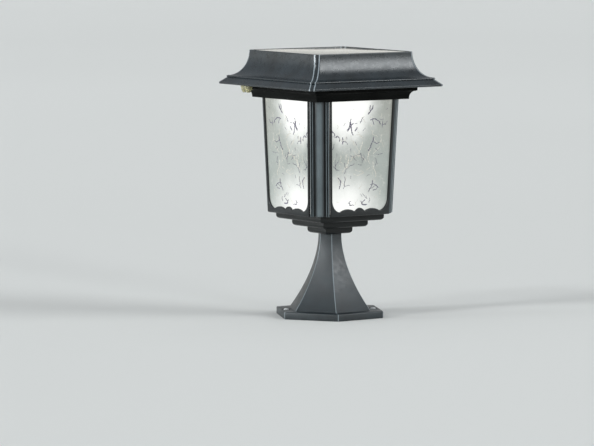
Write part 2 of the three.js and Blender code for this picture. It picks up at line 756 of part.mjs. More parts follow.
function roofShell() {
  const outer = squareStack(
    [
      [BRIM_HALF - 0.6, ROOF_BOTTOM],
      [BRIM_HALF, ROOF_BOTTOM + 0.6],
      [BRIM_HALF, LIP_TOP],
      [BEAD_HALF - 0.6, BEAD_BOTTOM],
      [BEAD_HALF, BEAD_BOTTOM + 0.8],
      [BEAD_HALF, BEAD_BOTTOM + 2.4],
      ...coveProfile(0, ROOF_TOP),
    ],
    ROOF_CORNER,
    4,
  );
  const hollow = squareStack(
    [
      [BRIM_HALF - ROOF_WALL - 0.3, ROOF_BOTTOM - 1],
      [BRIM_HALF - ROOF_WALL - 0.3, LIP_TOP + 1],
      [BEAD_HALF - ROOF_WALL - 1.4, BEAD_BOTTOM + 0.4],
      ...coveProfile(ROOF_WALL, ROOF_CEILING),
    ],
    ROOF_CORNER - ROOF_WALL,
    3,
  );
  const recess = prism(
    roundedRectangle(PANEL_RECESS_HALF, PANEL_RECESS_HALF, 5, 3),
    PANEL_RECESS_FLOOR,
    ROOF_TOP + 1,
  );
  const rods = (bottom, top, radius) =>
    fourCorners(BOSS_REACH).map(([x, y]) => rod(x, y, bottom, top, radius, 12));
  const bosses = rods(PLATE_TOP + GAP, ROOF_TOP, BOSS_RADIUS).map((boss) => common(boss, outer));
  const holes = rods(PLATE_TOP - 1, PLATE_TOP + 7, BOSS_HOLE_RADIUS);
  const { x, y, radius } = PANEL_LEAD_PLACE;
  const leadHole = rod(x, y, ROOF_CEILING - 1, PANEL_RECESS_FLOOR + 1, radius, 12);
  const shell = shaped([outer], [hollow, recess, leadHole]);
  return shaped([shell, ...bosses], holes);
}

place("roof_shell", "anthracite", roofShell());

// ---------------------------------------------------------------- solar panel

const glassBottom = GLASS_TOP - GLASS_THICKNESS;
const laminateTop = glassBottom - GAP;
const panelSquare = (half, corner) => roundedRectangle(half, half, corner, 3);

place("solar_glass", "solarGlass", prism(panelSquare(PANEL_HALF, 4), glassBottom, GLASS_TOP));
place(
  "solar_cells",
  "solarCell",
  prism(panelSquare(LAMINATE_HALF, 2), laminateTop - LAMINATE_THICKNESS, laminateTop),
);
place(
  "panel_seal",
  "rubber",
  shaped(
    [prism(panelSquare(PANEL_HALF, 4), PANEL_RECESS_FLOOR + GAP, laminateTop)],
    [prism(panelSquare(LAMINATE_HALF + GAP, 2), PANEL_RECESS_FLOOR, laminateTop + 1)],
  ),
);

// ---------------------------------------------------------------- base plate of the roof

const doorFar = DOOR_HINGE.y + DOOR_BARREL_RADIUS + 0.4;

function roofBase() {
  const plate = prism(roundedRectangle(PLATE_HALF, PLATE_HALF, 4.5, 3), PLATE_BOTTOM, PLATE_TOP);
  const skirt = shaped(
    [prism(cutSquare(SKIRT_HALF, SKIRT_CUT), SKIRT_BOTTOM, PLATE_BOTTOM + 1)],
    [
      prism(
        cutSquare(SKIRT_HALF - SKIRT_WALL, insetCut(SKIRT_CUT, SKIRT_WALL)),
        SKIRT_BOTTOM - 1,
        PLATE_BOTTOM,
      ),
    ],
  );
  const standoffs = boardHoles().map(([x, y]) =>
    rod(x, y, PLATE_TOP - 1, BOARD.bottom - GAP, STANDOFF_RADIUS, 12),
  );
  const doorOpening = block(
    -DOOR_OPENING_HALF,
    DOOR_OPENING_HALF,
    DOOR_NEAR - 0.5,
    doorFar,
    PLATE_BOTTOM - 1,
    PLATE_TOP + 1,
  );
  const pinReach = DOOR_OPENING_HALF + 3;
  const cuts = [
    doorOpening,
    rodAlongX(-pinReach, pinReach, DOOR_HINGE.y, DOOR_HINGE.z, DOOR_PIN_RADIUS + GAP),
    switchBlock(SWITCH_BODY.halfX + GAP, SWITCH_BODY.halfY + GAP, PLATE_BOTTOM - 1, PLATE_TOP + 1),
    rod(LED_LEAD_PLACE.x, LED_LEAD_PLACE.y, PLATE_BOTTOM - 1, PLATE_TOP + 1, 2, 12),
    ...fourCorners(BOSS_REACH).map(([x, y]) => rod(x, y, PLATE_BOTTOM - 1, PLATE_TOP + 1, 1.9, 10)),
    ...boardHoles().map(([x, y]) => rod(x, y, PLATE_TOP + 1, BOARD.bottom, 1.4, 10)),
  ];
  return shaped([plate, skirt, ...standoffs], cuts);
}

// A block about the switch's upright axis.
function switchBlock(halfX, halfY, bottom, top) {
  return block(SWITCH_X - halfX, SWITCH_X + halfX, SWITCH_Y - halfY, SWITCH_Y + halfY, bottom, top);
}

function boardHoles() {
  const inset = 4;
  return [
    [-BOARD.halfX + inset, BOARD.front + inset],
    [BOARD.halfX - inset, BOARD.back - inset],
  ];
}

place("roof_base", "darkPlastic", roofBase());
fourCorners(BOSS_REACH).forEach(([x, y], i) => {
  place(`plate_screw_${i + 1}`, "steel", screw(PLATE_SCREW), [x, y, PLATE_BOTTOM - GAP], [Math.PI, 0, 0]);
});

// ---------------------------------------------------------------- battery compartment

function batteryBox() {
  const { min, max } = BOX_INNER;
  const floor = PLATE_TOP + GAP;
  const outer = block(
    min.x - BOX_WALL,
    max.x + BOX_WALL,
    min.y - BOX_WALL,
    max.y + BOX_WALL,
    floor,
    max.z + BOX_WALL,
  );
  const inner = block(min.x, max.x, min.y, max.y, floor - 1, max.z);
  const leadHole = rodAlongX(min.x - BOX_WALL - 1, min.x + 1, BATTERY_LEAD.y, BATTERY_LEAD.z, 1.8);
  return shaped([outer], [inner, leadHole]);
}

function batteryCell() {
  const half = CELL_LENGTH / 2;
  const shoulder = half - CELL_NIB.height;
  return turned(
    [
      [0, -half],
      [CELL_RADIUS - CELL_RIM, -half],
      [CELL_RADIUS, -half + CELL_RIM],
      [CELL_RADIUS, shoulder - CELL_RIM],
      [CELL_RADIUS - CELL_RIM, shoulder],
      [CELL_NIB.radius, shoulder],
      [CELL_NIB.radius - 0.4, half],
      [0, half],
    ],
    20,
  ).rotateY(Math.PI / 2);
}

// A spring leaf: a plate across both cells, with a raised pad for each.
function batteryContact(end) {
  const wall = end * (BOX_HALF - GAP);
  const inner = wall - end * CONTACT.thickness;
  const pad = end * (CELL_LENGTH / 2 + GAP);
  const span = (a, b) => [Math.min(a, b), Math.max(a, b)];
  const plate = block(
    ...span(wall, inner),
    CELL_ROWS[0] - CONTACT.reach,
    CELL_ROWS[1] + CONTACT.reach,
    CELL_HEIGHT - CONTACT.halfHeight,
    CELL_HEIGHT + CONTACT.halfHeight,
  );
  const pads = CELL_ROWS.map((y) =>
    rodAlongX(...span(inner + end * 0.2, pad), y, CELL_HEIGHT, CONTACT.padRadius),
  );
  return shaped([plate, ...pads]);
}

function batteryDoor() {
  const bottom = DOOR_HINGE.z - DOOR_THICKNESS / 2 - 0.1;
  const halfX = DOOR_OPENING_HALF - 0.5;
  const panel = block(-halfX, halfX, DOOR_NEAR, DOOR_HINGE.y, bottom, bottom + DOOR_THICKNESS);
  const barrel = rodAlongX(-halfX, halfX, DOOR_HINGE.y, DOOR_HINGE.z, DOOR_BARREL_RADIUS);
  const ribs = DOOR_RIBS.map((x) =>
    block(x - 0.8, x + 0.8, DOOR_NEAR + 4, DOOR_HINGE.y - 4, bottom - DOOR_RIB_HEIGHT, bottom + 1),
  );
  const fingerTab = block(-DOOR_TAB_HALF, DOOR_TAB_HALF, DOOR_NEAR, DOOR_NEAR + 2, bottom - 2, bottom + 1);
  const bore = rodAlongX(-halfX - 1, halfX + 1, DOOR_HINGE.y, DOOR_HINGE.z, DOOR_PIN_RADIUS + GAP);
  return shaped([panel, barrel, ...ribs, fingerTab], [bore]);
}

place("battery_box", "darkPlastic", batteryBox());
CELL_ROWS.forEach((y, i) => {
  const turn = i === 0 ? 0 : Math.PI;
  place(`battery_cell_${i + 1}`, "batteryWrap", batteryCell(), [0, y, CELL_HEIGHT], [0, 0, turn]);
});
place("battery_contact_right", "nickel", batteryContact(1));
place("battery_contact_left", "nickel", batteryContact(-1));
const pinHalf = DOOR_OPENING_HALF + 2.5;
place("door_pin", "steel", rodAlongX(-pinHalf, pinHalf, DOOR_HINGE.y, DOOR_HINGE.z, DOOR_PIN_RADIUS));
place("battery_door", "darkPlastic", batteryDoor());

// ---------------------------------------------------------------- circuit board

// The board with its chip, a coil and three low parts.
function circuitBoard() {
  const top = BOARD.bottom + BOARD.thickness;
  const board = block(-BOARD.halfX, BOARD.halfX, BOARD.front, BOARD.back, BOARD.bottom, top);
  const seated = (minX, maxX, minY, maxY, height) => block(minX, maxX, minY, maxY, top - 0.5, top + height);
  const chip = seated(
    CHIP.x - CHIP.half,
    CHIP.x + CHIP.half,
    CHIP.y - CHIP.half,
    CHIP.y + CHIP.half,
    CHIP.height,
  );
  const coil = rod(COIL.x, COIL.y, top - 0.5, top + COIL.height, COIL.radius, 12);
  const small = LOW_PARTS.map((x) => seated(x - 2, x + 2, LOW_PART_Y - 1.2, LOW_PART_Y + 1.3, 1.4));
  const holes = boardHoles().map(([x, y]) => rod(x, y, BOARD.bottom - 1, top + 1, 1.7, 10));
  return shaped([board, chip, coil, ...small], holes);
}

place("circuit_board", "circuit", circuitBoard());
boardHoles().forEach(([x, y], i) => {
  place(`board_screw_${i + 1}`, "steel", screw(BOARD_SCREW), [x, y, BOARD.bottom + BOARD.thickness + GAP]);
});

// ---------------------------------------------------------------- lamp

const ledBoardTop = PLATE_BOTTOM - GAP;
const ledBoardBottom = ledBoardTop - LED_BOARD_THICKNESS;

const emitterTop = ledBoardBottom - GAP;

function diffuser() {
  const steps = 6;
  const rimBottom = ledBoardTop - DIFFUSER_RIM;
  const dome = (radius, drop) =>
    Array.from({ length: steps + 1 }, (_, i) => {
      const angle = ((i / steps) * Math.PI) / 2;
      return [radius * Math.sin(angle), rimBottom - drop * Math.cos(angle)];
    });
  const radius = DIFFUSER_RADIUS - 1.5;
  const outer = turned(
    [
      ...dome(radius, DIFFUSER_DROP),
      [DIFFUSER_RADIUS, rimBottom],
      [DIFFUSER_RADIUS, ledBoardTop],
      [0, ledBoardTop],
    ],
    24,
  );
  const inner = turned(
    [
      ...dome(radius - DIFFUSER_WALL, DIFFUSER_DROP - DIFFUSER_WALL),
      [radius - DIFFUSER_WALL, ledBoardTop + 1],
      [0, ledBoardTop + 1],
    ],
    24,
  );
  return shaped([outer], [inner]);
}

place("led_board", "whitePlastic", rod(0, 0, ledBoardBottom, ledBoardTop, LED_BOARD_RADIUS, 24));
place(
  "led_emitter",
  "ledYellow",
  turned(
    [
      [0, emitterTop - EMITTER.height],
      [EMITTER.faceRadius, emitterTop - EMITTER.height],
      [EMITTER.radius, emitterTop - EMITTER.rim],
      [EMITTER.radius, emitterTop],
      [0, emitterTop],
    ],
    20,
  ),
);
place("led_diffuser", "whitePlastic", diffuser());

// ---------------------------------------------------------------- rocker switch

// Upright housing: a bezel under the plate and a body that reaches up through it.
function switchHousing() {
  const bezelTop = PLATE_BOTTOM - GAP;
  const bezel = prism(
    roundedRectangle(SWITCH_BEZEL.halfX, SWITCH_BEZEL.halfY, 0.8, 2),
    SWITCH_BEZEL.bottom,
    bezelTop,
  ).translate(SWITCH_X, SWITCH_Y, 0);
  const body = switchBlock(SWITCH_BODY.halfX, SWITCH_BODY.halfY, bezelTop - 0.5, SWITCH_BODY.top);
  const terminal = block(
    SWITCH_X + SWITCH_BODY.halfX - 0.5,
    SWITCH_X + SWITCH_TERMINAL.reach,
    SWITCH_Y - SWITCH_TERMINAL.halfY,
    SWITCH_Y + SWITCH_TERMINAL.halfY,
    SWITCH_TERMINAL.bottom,
    SWITCH_TERMINAL.top,
  );
  const cavity = switchBlock(
    SWITCH_CAVITY.halfX,
    SWITCH_CAVITY.halfY,
    SWITCH_BEZEL.bottom - 1,
    SWITCH_CAVITY.top,
  );
  const axleReach = SWITCH_BODY.halfX + 0.4;
  const axleHole = rodAlongX(
    SWITCH_X - axleReach,
    SWITCH_X + axleReach,
    SWITCH_Y,
    ROCKER_PIVOT,
    AXLE_RADIUS + GAP,
    10,
  );
  return shaped([bezel, body, terminal], [cavity, axleHole]);
}

// A rocker with a dished face, about its own axle. Its section lies in the YZ plane.
function rocker() {
  const end = 5.2;
  const halfWidth = 2.5;
  const faceEnd = -4.2;
  const faceDip = -2.2;
  const backEnd = -1.6;
  const backPeak = 5;
  const shape = new THREE.Shape();
  shape.moveTo(-end, faceEnd);
  shape.quadraticCurveTo(0, faceDip, end, faceEnd);
  shape.lineTo(end, backEnd);
  shape.quadraticCurveTo(0, backPeak, -end, backEnd);
  const options = { depth: 2 * halfWidth, bevelEnabled: false, curveSegments: 8 };
  const body = new THREE.ExtrudeGeometry(shape, options)
    .rotateX(Math.PI / 2)
    .rotateZ(Math.PI / 2)
    .translate(-halfWidth, 0, 0);
  const axleReach = 3.6;
  return shaped([body, rodAlongX(-axleReach, axleReach, 0, 0, AXLE_RADIUS, 10)]);
}

// The clear boot: a flange against the plate, and a tapered pocket with room for the rocker.
function switchBoot() {
  const top = PLATE_BOTTOM - GAP;
  const flangeBottom = top - 1.4;
  const section = (halfX, halfY, radius, z) => ({ z, points: roundedRectangle(halfX, halfY, radius, 3) });
  const outer = loft([
    section(4, 8, 2.4, BOOT_BOTTOM),
    section(4.8, 8.8, 2.8, BOOT_BOTTOM + 0.8),
    section(5.5, 10, 2.8, flangeBottom),
    section(6.3, 11.2, 2.8, flangeBottom),
    section(6.3, 11.2, 2.8, top),
  ]);
  const inner = loft([
    section(3.9, 7.8, 1, BOOT_BOTTOM + 1),
    section(4.7, 8.8, 1, flangeBottom),
    section(4.7, 8.8, 1, top + 1),
  ]);
  return shaped([outer], [inner]).translate(SWITCH_X, SWITCH_Y, 0);
}

place("switch_housing", "switchBlack", switchHousing());
place("switch_boot", "clearRubber", switchBoot());
place("switch_rocker", "switchBlack", rocker(), [SWITCH_X, SWITCH_Y, ROCKER_PIVOT], [-ROCKER_TILT, 0, 0]);

// ---------------------------------------------------------------- internal leads

const boardMiddle = BOARD.bottom + BOARD.thickness / 2;
place(
  "panel_lead",
  "leadRed",
  lead(
    [
      [-20, -50, 361.4],
      [-20, -50, 354],
      [-30, -56, 345],
      [-38, -60, 334],
      [-BOARD.halfX - 4, -62, boardMiddle + 0.6],
      [-BOARD.halfX - GAP, -62, boardMiddle],
    ],
    1,
    20,
  ),
);
place(
  "battery_lead",
  "leadRed",
  lead(
    [
      [-37, 36, 340],
      [-43, 35, 339],
      [-50, 20, 332],
      [-48, -20, 326],
      [-BOARD.halfX - 6, -44, boardMiddle],
      [-BOARD.halfX - GAP, -46, boardMiddle],
    ],
    1,
    22,
  ),
);
place(
  "led_lead",
  "leadWhite",
  lead(
    [
      [10, BOARD.back + GAP, boardMiddle],
      [10, BOARD.back + 5, boardMiddle],
      [6, BOARD.back + 14, 326],
      [4, -12, 323],
      [4, -12, 319.3],
    ],
    1,
    14,
  ),
);
place(
  "switch_lead",
  "leadWhite",
  lead(
    [
      [SWITCH_X + 4.6, SWITCH_Y, 323.9],
      [SWITCH_X + 12, SWITCH_Y, 324],
      [-72, 40, 324],
      [-60, -10, 324],
      [-BOARD.halfX - 12, -52, boardMiddle - 1],
      [-BOARD.halfX - GAP, -54, boardMiddle],
    ],
    1,
    24,
  ),
);

export default light;
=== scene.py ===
# A solar garden light: a lit square lantern with a solar roof that lifts off, on a flared hexagonal foot.
# Dimensions are in millimetres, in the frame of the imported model, and become metres when a mesh is made.
import json
import math

import bmesh
import bpy
import numpy as np
from mathutils import Matrix, Vector

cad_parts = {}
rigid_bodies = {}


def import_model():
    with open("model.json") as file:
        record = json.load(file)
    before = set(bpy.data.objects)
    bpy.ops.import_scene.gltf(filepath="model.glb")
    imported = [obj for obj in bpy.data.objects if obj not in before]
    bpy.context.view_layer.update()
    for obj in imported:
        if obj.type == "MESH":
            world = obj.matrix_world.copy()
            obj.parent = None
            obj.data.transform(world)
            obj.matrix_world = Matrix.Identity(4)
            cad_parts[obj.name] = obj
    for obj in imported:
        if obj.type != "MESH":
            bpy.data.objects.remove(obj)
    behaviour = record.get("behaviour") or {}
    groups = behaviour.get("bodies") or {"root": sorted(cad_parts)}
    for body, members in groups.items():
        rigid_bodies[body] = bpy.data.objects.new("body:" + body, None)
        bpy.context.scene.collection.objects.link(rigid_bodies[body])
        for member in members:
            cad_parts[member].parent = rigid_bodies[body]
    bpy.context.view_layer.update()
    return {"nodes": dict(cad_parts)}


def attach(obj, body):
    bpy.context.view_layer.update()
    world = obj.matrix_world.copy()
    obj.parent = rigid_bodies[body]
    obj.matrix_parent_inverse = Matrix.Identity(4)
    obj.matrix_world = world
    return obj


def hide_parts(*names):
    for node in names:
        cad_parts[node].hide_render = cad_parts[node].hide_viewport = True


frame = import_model()

MM = 0.001
GAP = 0.3
SIDES = ("front", "right", "back", "left")

# Pedestal
FOOT_RADIUS = 79
FOOT_TOP = 9.8
COLUMN_TOP = 112
COLUMN_TOP_RADIUS = 17.1
COLUMN_FLARE = 42.9
COLUMN_FLARE_POWER = 1.8
NECK_TOP = 114.7
PEDESTAL_WALL = 3
PEDESTAL_ROOF = 106
PEDESTAL_TURN = math.radians(3)
COLUMN_EDGE = 1.1
GROUND_SCREW_REACH = 60.4
GROUND_SCREW_TURN = 0.5
RECESS_RADIUS = 6
RECESS_FLOOR = 7
GROUND_SEAT = RECESS_FLOOR + GAP

# Screws: head radius, head height, shank radius and length
GROUND_SCREW = (4.1, 3.4, 2, GROUND_SEAT - 0.4)
BASE_SCREW = (3.2, 1.5, 1.5, 8.5)
PLATE_SCREW = (3.2, 1.6, 1.5, 9)

# Bolt, washer and nut between the pedestal and the lantern
BOLT_END = 94
BOLT_RADIUS = 4
BOLT_HOLE = 4.4
BOLT_THREAD_TOP = 116
THREAD_PITCH = 1.25
BOLT_HEAD_RADIUS = 6.5
BOLT_HEAD_HEIGHT = 2.6
WASHER_BORE = 4.3
WASHER_RADIUS = 8.4
WASHER_THICKNESS = 1.6
NUT_RADIUS = 7.5
NUT_HEIGHT = 6.5

# Stepped base: half width and underside of each tier
TIERS = ((22.8, 115), (38, 124.5), (53.8, 134))
TIER_EDGE = 4.5
TIER_CORNER = 2
TIER_WALL = 3
TIERS_TOP = 143.2
BASE_SCREW_REACH = 41
BOSS_RADIUS = 4.5
BOSS_BORE = 1.9
BASE_SCREW_HOLE = 2

# Lantern frame
FRAME_BOTTOM = 143.5
FRAME_SHOULDER = 300.7
FRAME_TOP = 312
FRAME_BOTTOM_HALF = 70.5
FRAME_LEAN = 0.0364
FRAME_WALL = 3
FRAME_FLOOR = 3
CORNER_CUT = 21
POST_WALL = 6
POST_GROOVE = 3
POST_EDGE = 14.6
# centre, half width, rise and number of steps
POST_BEADS = (
    (-12.2, 1.1, 0, 6),
    (-9.4, 1.1, 0, 6),
    (0, 7.2, 0.6, 20),
    (9.4, 1.1, 0, 6),
    (12.2, 1.1, 0, 6),
)
RING_HALF = 73.7
RING_CUT = 21.8
RING_WALL = 3.5

# Windows
WINDOW_MARGIN = 24.6
SILL_HEIGHT = 149.6
# centre, half width and rise of the scallops
SILL_BUMPS = ((-20.4, 12.4, 3.5), (0, 8, 4.7), (20.4, 12.4, 3.5))
SILL_REACH = 32.8
WINDOW_ROUND = 16.8
WINDOW_EDGE = 0.9
PANE_OUTER = 3.3
PANE_INNER = 6.3
PANE_OVERLAP = 2.2
PANE_BOTTOM = 146.9
PANE_TOP = 300.4

# Collar
COLLAR_BOTTOM = 301
COLLAR_FLANGE = 313
COLLAR_TOP = 318.9
COLLAR_HALF = 78
COLLAR_FLANGE_HALF = 86.2
COLLAR_CORNER = 2.5
SEAL_HALF = 77
SEAL_WIDTH = 3
SEAL_DEPTH = 1.5

# Roof
ROOF_TOP = 366
ROOF_BOTTOM = 318.7
ROOF_CORNER = 7.5
# the painted highlight lines beside the roof's corners: how far from the corner along each side, and where
# they begin
HIGHLIGHT_LINE = 4.4
HIGHLIGHT_START = 70
BRIM_HALF = 112.2
LIP_TOP = 321.2
BEAD_HALF = 104.8
BEAD_RADIUS = 1.2
BEAD_MIDDLE = 329.2
COVE_HALF = 103.8
COVE_WIDTH = 21.6
COVE_HEIGHT = 35.5
ROOF_WALL = 2.5
ROOF_CEILING = 358.1
PANEL_RECESS_HALF = 79.2
PANEL_RECESS_FLOOR = 360.6

# Solar panel
PANEL_HALF = 78.7
GLASS_TOP = 365.5
PANEL_CORNER = 4
PANEL_RECESS_CORNER = 4.7
LEAD_HOLE = (-20, -50)
LEAD_HOLE_RADIUS = 4
GLASS_THICKNESS = 1.8
LAMINATE_HALF = 76.5
LAMINATE_THICKNESS = 1.4

# Parts on the underside of the roof
PLATE_BOTTOM = 319.2
PLATE_SCREW_REACH = 93
LED_BOARD_RADIUS = 19
LED_BOARD_TOP = PLATE_BOTTOM - GAP
LED_BOARD_BOTTOM = LED_BOARD_TOP - 1.6
DIFFUSER_RADIUS = 23.5
DIFFUSER_RIM = 2.4
DIFFUSER_DROP = 15
DIFFUSER_WALL = 1.5
SWITCH = (-97, 62)
ROCKER_PIVOT = 317.2
ROCKER_TILT = math.radians(12)
BOOT_BOTTOM = 308
BOOT_HALF = (5.3, 9.7)
BOOT_WALL = 0.8

# Battery compartment
CELL_RADIUS = 9.1
CELL_LENGTH = 65
CELL_HEIGHT = 333
CELL_LINES = (34.5, 53.5)
DOOR_PIN_REACH = 38.7
DOOR_HINGE = (62.2, 320.7)

# Camera, from the object's axis at mid height
CAMERA_AZIMUTH = -35.7
CAMERA_ELEVATION = 4.54
CAMERA_DISTANCE = 6577
CAMERA_LENS = 289.8
CAMERA_ROLL = 0.2
CAMERA_TARGET = 185
CAMERA_ASIDE = -45.5
CAMERA_BELOW = -56.5

# ---------------------------------------------------------------- camera


def camera_axes():
    azimuth = math.radians(CAMERA_AZIMUTH)
    elevation = math.radians(CAMERA_ELEVATION)
    roll = math.radians(CAMERA_ROLL)
    back = Vector(
        (
            math.sin(azimuth) * math.cos(elevation),
            -math.cos(azimuth) * math.cos(elevation),
            math.sin(elevation),
        )
    )
    level = Vector((0, 0, 1)).cross(back).normalized()
    upright = back.cross(level)
    right = level * math.cos(roll) + upright * math.sin(roll)
    up = upright * math.cos(roll) - level * math.sin(roll)
    return right, up, back


def make_camera():
    right, up, back = camera_axes()
    target = Vector((0, 0, CAMERA_TARGET))
    place = target + back * CAMERA_DISTANCE
    aim = target + right * CAMERA_ASIDE + up * CAMERA_BELOW
    toward = (place - aim).normalized()
    right = up.cross(toward).normalized()
    up = toward.cross(right)
    data = bpy.data.cameras.new("camera")
    data.lens = CAMERA_LENS
    data.clip_end = 100
    camera = bpy.data.objects.new("camera", data)
    turn = Matrix((right, up, toward)).transposed().to_4x4()
    camera.matrix_world = Matrix.Translation(place * MM) @ turn
    bpy.context.scene.collection.objects.link(camera)
    bpy.context.scene.camera = camera


make_camera()

# ---------------------------------------------------------------- outlines and meshes


def filleted(points, steps=4, closed=False):
    """A polyline through (x, y, radius) points, with an arc of that radius at each corner."""
    path = []
    last = len(points) - 1
    for i, (x, y, radius) in enumerate(points):
        corner = np.array([x, y], float)
        if radius == 0 or (not closed and i in (0, last)):
            path.append(corner)
            continue
        before = np.array(points[i - 1][:2], float) - corner
        after = np.array(points[(i + 1) % len(points)][:2], float) - corner
        before /= np.linalg.norm(before)
        after /= np.linalg.norm(after)
        half_angle = math.acos(max(-1, min(1, before @ after))) / 2
        middle = before + after
        centre = corner + middle / np.linalg.norm(middle) * radius / math.sin(half_angle)
        start = corner + before * radius / math.tan(half_angle) - centre
        end = corner + after * radius / math.tan(half_angle) - centre
        first = math.atan2(start[1], start[0])
        sweep = (math.atan2(end[1], end[0]) - first + math.pi) % (2 * math.pi) - math.pi
        for k in range(steps + 1):
            angle = first + sweep * k / steps
            path.append(centre + radius * np.array([math.cos(angle), math.sin(angle)]))
    return np.array(path)


def rounded(corners, radius, steps):
    return filleted([(x, y, radius) for x, y in corners], steps, closed=True)


def rectangle(half_x, half_y):
    return [(half_x, half_y), (-half_x, half_y), (-half_x, -half_y), (half_x, -half_y)]


def square(half):
    return rectangle(half, half)


def cut_square(half, cut):
    near = half - cut
    quarter = [(half, -near), (half, near), (near, half), (-near, half)]
    return quarter + [(-x, -y) for x, y in quarter]


def inset_cut(cut, inset):
    return cut - inset * (2 - math.sqrt(2))


def quarter_angles(steps):
    return [math.pi / 2 * k / steps for k in range(steps + 1)]


def hexagon(radius):
    angles = [math.radians(60 * i) for i in range(6)]
    return [(radius * math.cos(a), radius * math.sin(a)) for a in angles]


def ring(outline, z):
    return np.column_stack([outline, np.full(len(outline), float(z))])


def loft(rings, closed=False):
    """Points and faces of a skin through rings that have as many points as each other."""
    count = len(rings[0])
    levels = len(rings)
    points = np.concatenate(rings)
    faces = []
    for level in range(levels if closed else levels - 1):
        low = level * count
        high = (level + 1) % levels * count
        for i in range(count):
            j = (i + 1) % count
            faces.append((low + i, low + j, high + j, high + i))
    if not closed:
        faces.append(tuple(reversed(range(count))))
        faces.append(tuple(range(len(points) - count, len(points))))
    return points, faces


def solid(points, faces):
    mesh = bpy.data.meshes.new("shape")
    mesh.from_pydata((np.asarray(points) * MM).tolist(), [], faces)
    edit = bmesh.new()
    edit.from_mesh(mesh)
    bmesh.ops.remove_doubles(edit, verts=edit.verts, dist=1e-7)
    bmesh.ops.recalc_face_normals(edit, faces=edit.faces)
    edit.to_mesh(mesh)
    edit.free()
    return mesh


def gathered(shapes):
    """One mesh of several separate solids."""
    points, faces, base = [], [], 0
    for some_points, some_faces in shapes:
        points.append(some_points)
        faces += [tuple(base + i for i in face) for face in some_faces]
        base += len(some_points)
    return solid(np.concatenate(points), faces)


def square_stack(profile, steps=6):
    """A solid through (half, z, corner radius) squares."""
    return solid(*loft([ring(rounded(square(half), corner, steps), z) for half, z, corner in profile]))


def prism(outline, bottom, top):
    return solid(*loft([ring(outline, bottom), ring(outline, top)]))


def turned(profile, segments=48, closed=False):
    """A solid of revolution about Z through (radius, z) points. A closed one is hollow along Z."""
    angles = np.arange(segments) * 2 * math.pi / segments
    unit = np.column_stack([np.cos(angles), np.sin(angles)])
    return solid(*loft([ring(unit * radius, z) for radius, z in profile], closed))


def curved_path(points):
    """A smooth curve through the points, with even speed between unevenly spaced ones."""
    steps = 10
    points = np.array(points, float)
    ends = (2 * points[0] - points[1], 2 * points[-1] - points[-2])
    padded = np.vstack([ends[0], points, ends[1]])
    path = []
    for i in range(1, len(padded) - 2):
        around = padded[i - 1 : i + 3]
        spans = np.sqrt(np.linalg.norm(np.diff(around, axis=0), axis=1))
        slopes = np.diff(around, axis=0) / spans[:, None]
        chords = [(around[k + 2] - around[k]) / (spans[k] + spans[k + 1]) for k in (0, 1)]
        joint = [slopes[k] - chords[k] + slopes[k + 1] for k in (0, 1)]
        start, end = joint[0] * spans[1], joint[1] * spans[1]
        for t in np.arange(steps) / steps:
            path.append(
                (2 * t**3 - 3 * t**2 + 1) * around[1]
                + (t**3 - 2 * t**2 + t) * start
                + (3 * t**2 - 2 * t**3) * around[2]
                + (t**3 - t**2) * end
            )
    return np.array([*path, points[-1]])


def tube(path, radius):
    """A round bar along a path, with slightly rounded ends."""
    sides = 16
    side = None
    rings = []
    last = len(path) - 1
    for i, point in enumerate(path):
        along = path[min(i + 1, last)] - path[max(i - 1, 0)]
        along /= np.linalg.norm(along)
        if side is None:
            side = np.cross(along, (0.3, 0.5, 0.8))
        side = side - along * (side @ along)
        side /= np.linalg.norm(side)
        other = np.cross(along, side)
        angles = np.arange(sides) * 2 * math.pi / sides
        reach = radius * (0.7 if i in (0, last) else 1)
        round_point = np.cos(angles)[:, None] * side + np.sin(angles)[:, None] * other
        rings.append(point + reach * round_point)
    return solid(*loft(rings))


def rod(x, y, bottom, top, radius, segments=32):
    mesh = turned([(radius, bottom), (radius, top)], segments)
    mesh.transform(Matrix.Translation((x * MM, y * MM, 0)))
    return mesh


def box(low, high):
    """Points and faces of a box between two corners."""
    outline = np.array([(low[0], low[1]), (high[0], low[1]), (high[0], high[1]), (low[0], high[1])], float)
    return loft([ring(outline, low[2]), ring(outline, high[2])])


def moved(mesh, place=(0, 0, 0), turn=(0, 0, 0)):
    shift = Matrix.Translation(Vector(place) * MM)
    about_x, about_y, about_z = (Matrix.Rotation(angle, 4, axis) for angle, axis in zip(turn, "XYZ"))
    mesh.transform(shift @ (about_z @ about_y @ about_x))
    return mesh


def quarter_turns(mesh):
    copies = []
    for turn in range(4):
        copy = mesh.copy()
        copy.transform(Matrix.Rotation(turn * math.pi / 2, 4, "Z"))
        copies.append(copy)
    return copies


def combined(mesh, others, operation):
    """The mesh after a boolean operation with each of the others in turn."""
    links = bpy.context.scene.collection.objects
    base = bpy.data.objects.new("base", mesh)
    links.link(base)
    tools = []
    for other in others:
        tool = bpy.data.objects.new("tool", other)
        links.link(tool)
        tools.append(tool)
        modifier = base.modifiers.new("boolean", "BOOLEAN")
        modifier.operation = operation
        modifier.solver = "EXACT"
        modifier.object = tool
    bpy.context.view_layer.update()
    depsgraph = bpy.context.evaluated_depsgraph_get()
    result = bpy.data.meshes.new_from_object(base.evaluated_get(depsgraph))
    for item in (base, *tools):
        bpy.data.objects.remove(item)
    return result


def cut(mesh, others):
    return combined(mesh, others, "DIFFERENCE")


def joined(mesh, others):
    return combined(mesh, others, "UNION")


def piece(name, mesh, material, body, node, sharp=35):
    mesh.name = name
    mesh.materials.clear()
    mesh.materials.append(material)
    mesh.polygons.foreach_set("use_smooth", [True] * len(mesh.polygons))
    mesh.set_sharp_from_angle(angle=math.radians(sharp))
    thing = bpy.data.objects.new(name, mesh)
    bpy.context.scene.collection.objects.link(thing)
    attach(thing, body)
    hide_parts(node)


# ---------------------------------------------------------------- materials


